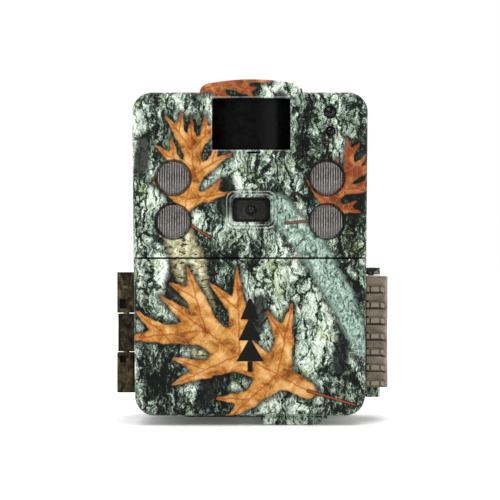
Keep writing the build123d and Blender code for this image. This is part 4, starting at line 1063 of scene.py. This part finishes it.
class TRAILCAM_OT_stage(PieceOperator, bpy.types.Operator):
    """Set up the pale floor, the soft lights and the camera"""

    bl_idname = "trailcam.stage"
    bl_label = "Stage"

    def build(self, scene):
        sizes = scene.trailcam_stage
        build_floor()
        for name, place, size, power in (
            ("key", (-0.35, -0.85, 0.75), 0.6, 6.0),
            ("fill", (0.65, -0.75, 0.30), 0.6, 2.4),
            ("top", (0.05, -0.10, 0.95), 0.7, 5.0),
            ("left_edge", (-0.75, 0.15, 0.35), 0.5, 2.2),
            ("right_edge", (0.75, 0.15, 0.35), 0.5, 2.2),
            ("rear", (0.1, 0.85, 0.55), 0.7, 5.0),
        ):
            add_light(name, place, size, power * sizes.light)
        world = bpy.data.worlds.new("studio")
        world.use_nodes = True
        sky = Wiring(world.node_tree)
        seen = sky.add("ShaderNodeLightPath").outputs["Is Camera Ray"]
        shine = world.node_tree.nodes["Background"].inputs
        sky.feed(shine["Color"], (1.0, 1.0, 1.0))
        sky.feed(shine["Strength"], sky.blend(seen, WORLD_LIGHT, 1.0))
        scene.world = world
        scene.view_settings.view_transform = "Standard"
        camera = bpy.data.cameras.new("camera")
        camera.sensor_width = 36.0
        camera.lens = 36.0 * sizes.distance / sizes.field
        holder = bpy.data.objects.new("camera", camera)
        scene.collection.objects.link(holder)
        holder.location = (0.0, FACE_Y - sizes.distance, sizes.aim)
        holder.rotation_euler = (math.pi / 2, 0.0, 0.0)
        scene.camera = holder


def add_light(name, place, size, power):
    """Square soft light turned to the middle of the trail camera."""
    lamp = bpy.data.lights.new(name, "AREA")
    lamp.size = size
    lamp.energy = power
    holder = bpy.data.objects.new(name, lamp)
    bpy.context.scene.collection.objects.link(holder)
    holder.location = place
    holder.rotation_euler = (LIGHT_AIM - Vector(place)).to_track_quat("-Z", "Y").to_euler()


def build_floor():
    """Pale floor: a level sheet of rings whose radii grow by equal shares from the object outwards.

    It glows more the farther it is from the object, so it ends without an edge."""
    radii = np.geomspace(0.1, 6.0, 24)
    turns = np.linspace(0.0, 2.0 * np.pi, 72, endpoint=False)
    radius, angle = np.meshgrid(radii, turns, indexing="ij")
    rings = np.stack([radius * np.cos(angle), radius * np.sin(angle), np.zeros_like(radius)], axis=-1)
    corners = np.vstack([[0.0, 0.0, 0.0], rings.reshape(-1, 3)])
    count = len(turns)
    around = np.arange(count)
    fan = np.stack([np.zeros(count, dtype=int), 1 + around, 1 + (around + 1) % count], axis=-1)
    faces = (grid_faces(len(radii), count, wrap=True) + 1).tolist() + fan.tolist()
    mesh = bpy.data.meshes.new("floor")
    mesh.from_pydata(corners.tolist(), [], faces)
    mesh.update()
    floor = bpy.data.objects.new("floor", mesh)
    bpy.context.scene.collection.objects.link(floor)
    material, w, shader = new_material("pale_floor")
    tone = w.noise(w.scaled(w.place(), (0.01, 0.01, 0.01)), 1.0, 3.0)
    w.feed(shader.inputs["Base Color"], w.ramp(tone, [(0.3, "f6f6f6"), (0.7, "fbfbfb")]))
    shader.inputs["Roughness"].default_value = 0.9
    shader.inputs["Specular IOR Level"].default_value = 0.1
    far = w.vector("LENGTH", w.add("ShaderNodeTexCoord").outputs["Object"], out="Value")
    shader.inputs["Emission Color"].default_value = (1.0, 1.0, 1.0, 1.0)
    w.feed(shader.inputs["Emission Strength"], w.smooth(far, 0.12, 1.2, 0.08, 1.0))
    mesh.materials.append(material)


# ---------------------------------------------------------------- panel, registration and run
OPERATORS = (
    TRAILCAM_OT_covers, TRAILCAM_OT_rear_case, TRAILCAM_OT_sensor, TRAILCAM_OT_camera_eye,
    TRAILCAM_OT_lamps, TRAILCAM_OT_latch, TRAILCAM_OT_controls, TRAILCAM_OT_boards,
    TRAILCAM_OT_battery_tray, TRAILCAM_OT_fastenings, TRAILCAM_OT_stage,
)


class TRAILCAM_PT_pieces(bpy.types.Panel):
    """Buttons for every piece, in the order they are built"""

    bl_idname = "TRAILCAM_PT_pieces"
    bl_label = "Trail Camera"
    bl_space_type = "VIEW_3D"
    bl_region_type = "UI"
    bl_category = "Trail Camera"

    def draw(self, context):
        for operator in OPERATORS:
            self.layout.operator(operator.bl_idname)
        for name in GROUPS:
            group = getattr(context.scene, name)
            box = self.layout.box()
            for key in group.__annotations__:
                box.prop(group, key)


GROUPS = {
    "trailcam_print": TRAILCAM_PG_print,
    "trailcam_lamp": TRAILCAM_PG_lamp,
    "trailcam_latch": TRAILCAM_PG_latch,
    "trailcam_stage": TRAILCAM_PG_stage,
}


def register():
    for group in GROUPS.values():
        bpy.utils.register_class(group)
    for name, group in GROUPS.items():
        setattr(bpy.types.Scene, name, bpy.props.PointerProperty(type=group))
    for operator in OPERATORS:
        bpy.utils.register_class(operator)
    bpy.utils.register_class(TRAILCAM_PT_pieces)


def unregister():
    bpy.utils.unregister_class(TRAILCAM_PT_pieces)
    for operator in reversed(OPERATORS):
        bpy.utils.unregister_class(operator)
    for name in GROUPS:
        delattr(bpy.types.Scene, name)
    for group in GROUPS.values():
        bpy.utils.unregister_class(group)


def main():
    """Registers the add-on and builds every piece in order."""
    register()
    for operator in OPERATORS:
        family, _, action = operator.bl_idname.partition(".")
        getattr(getattr(bpy.ops, family), action)()


if __name__ == "__main__":
    main()
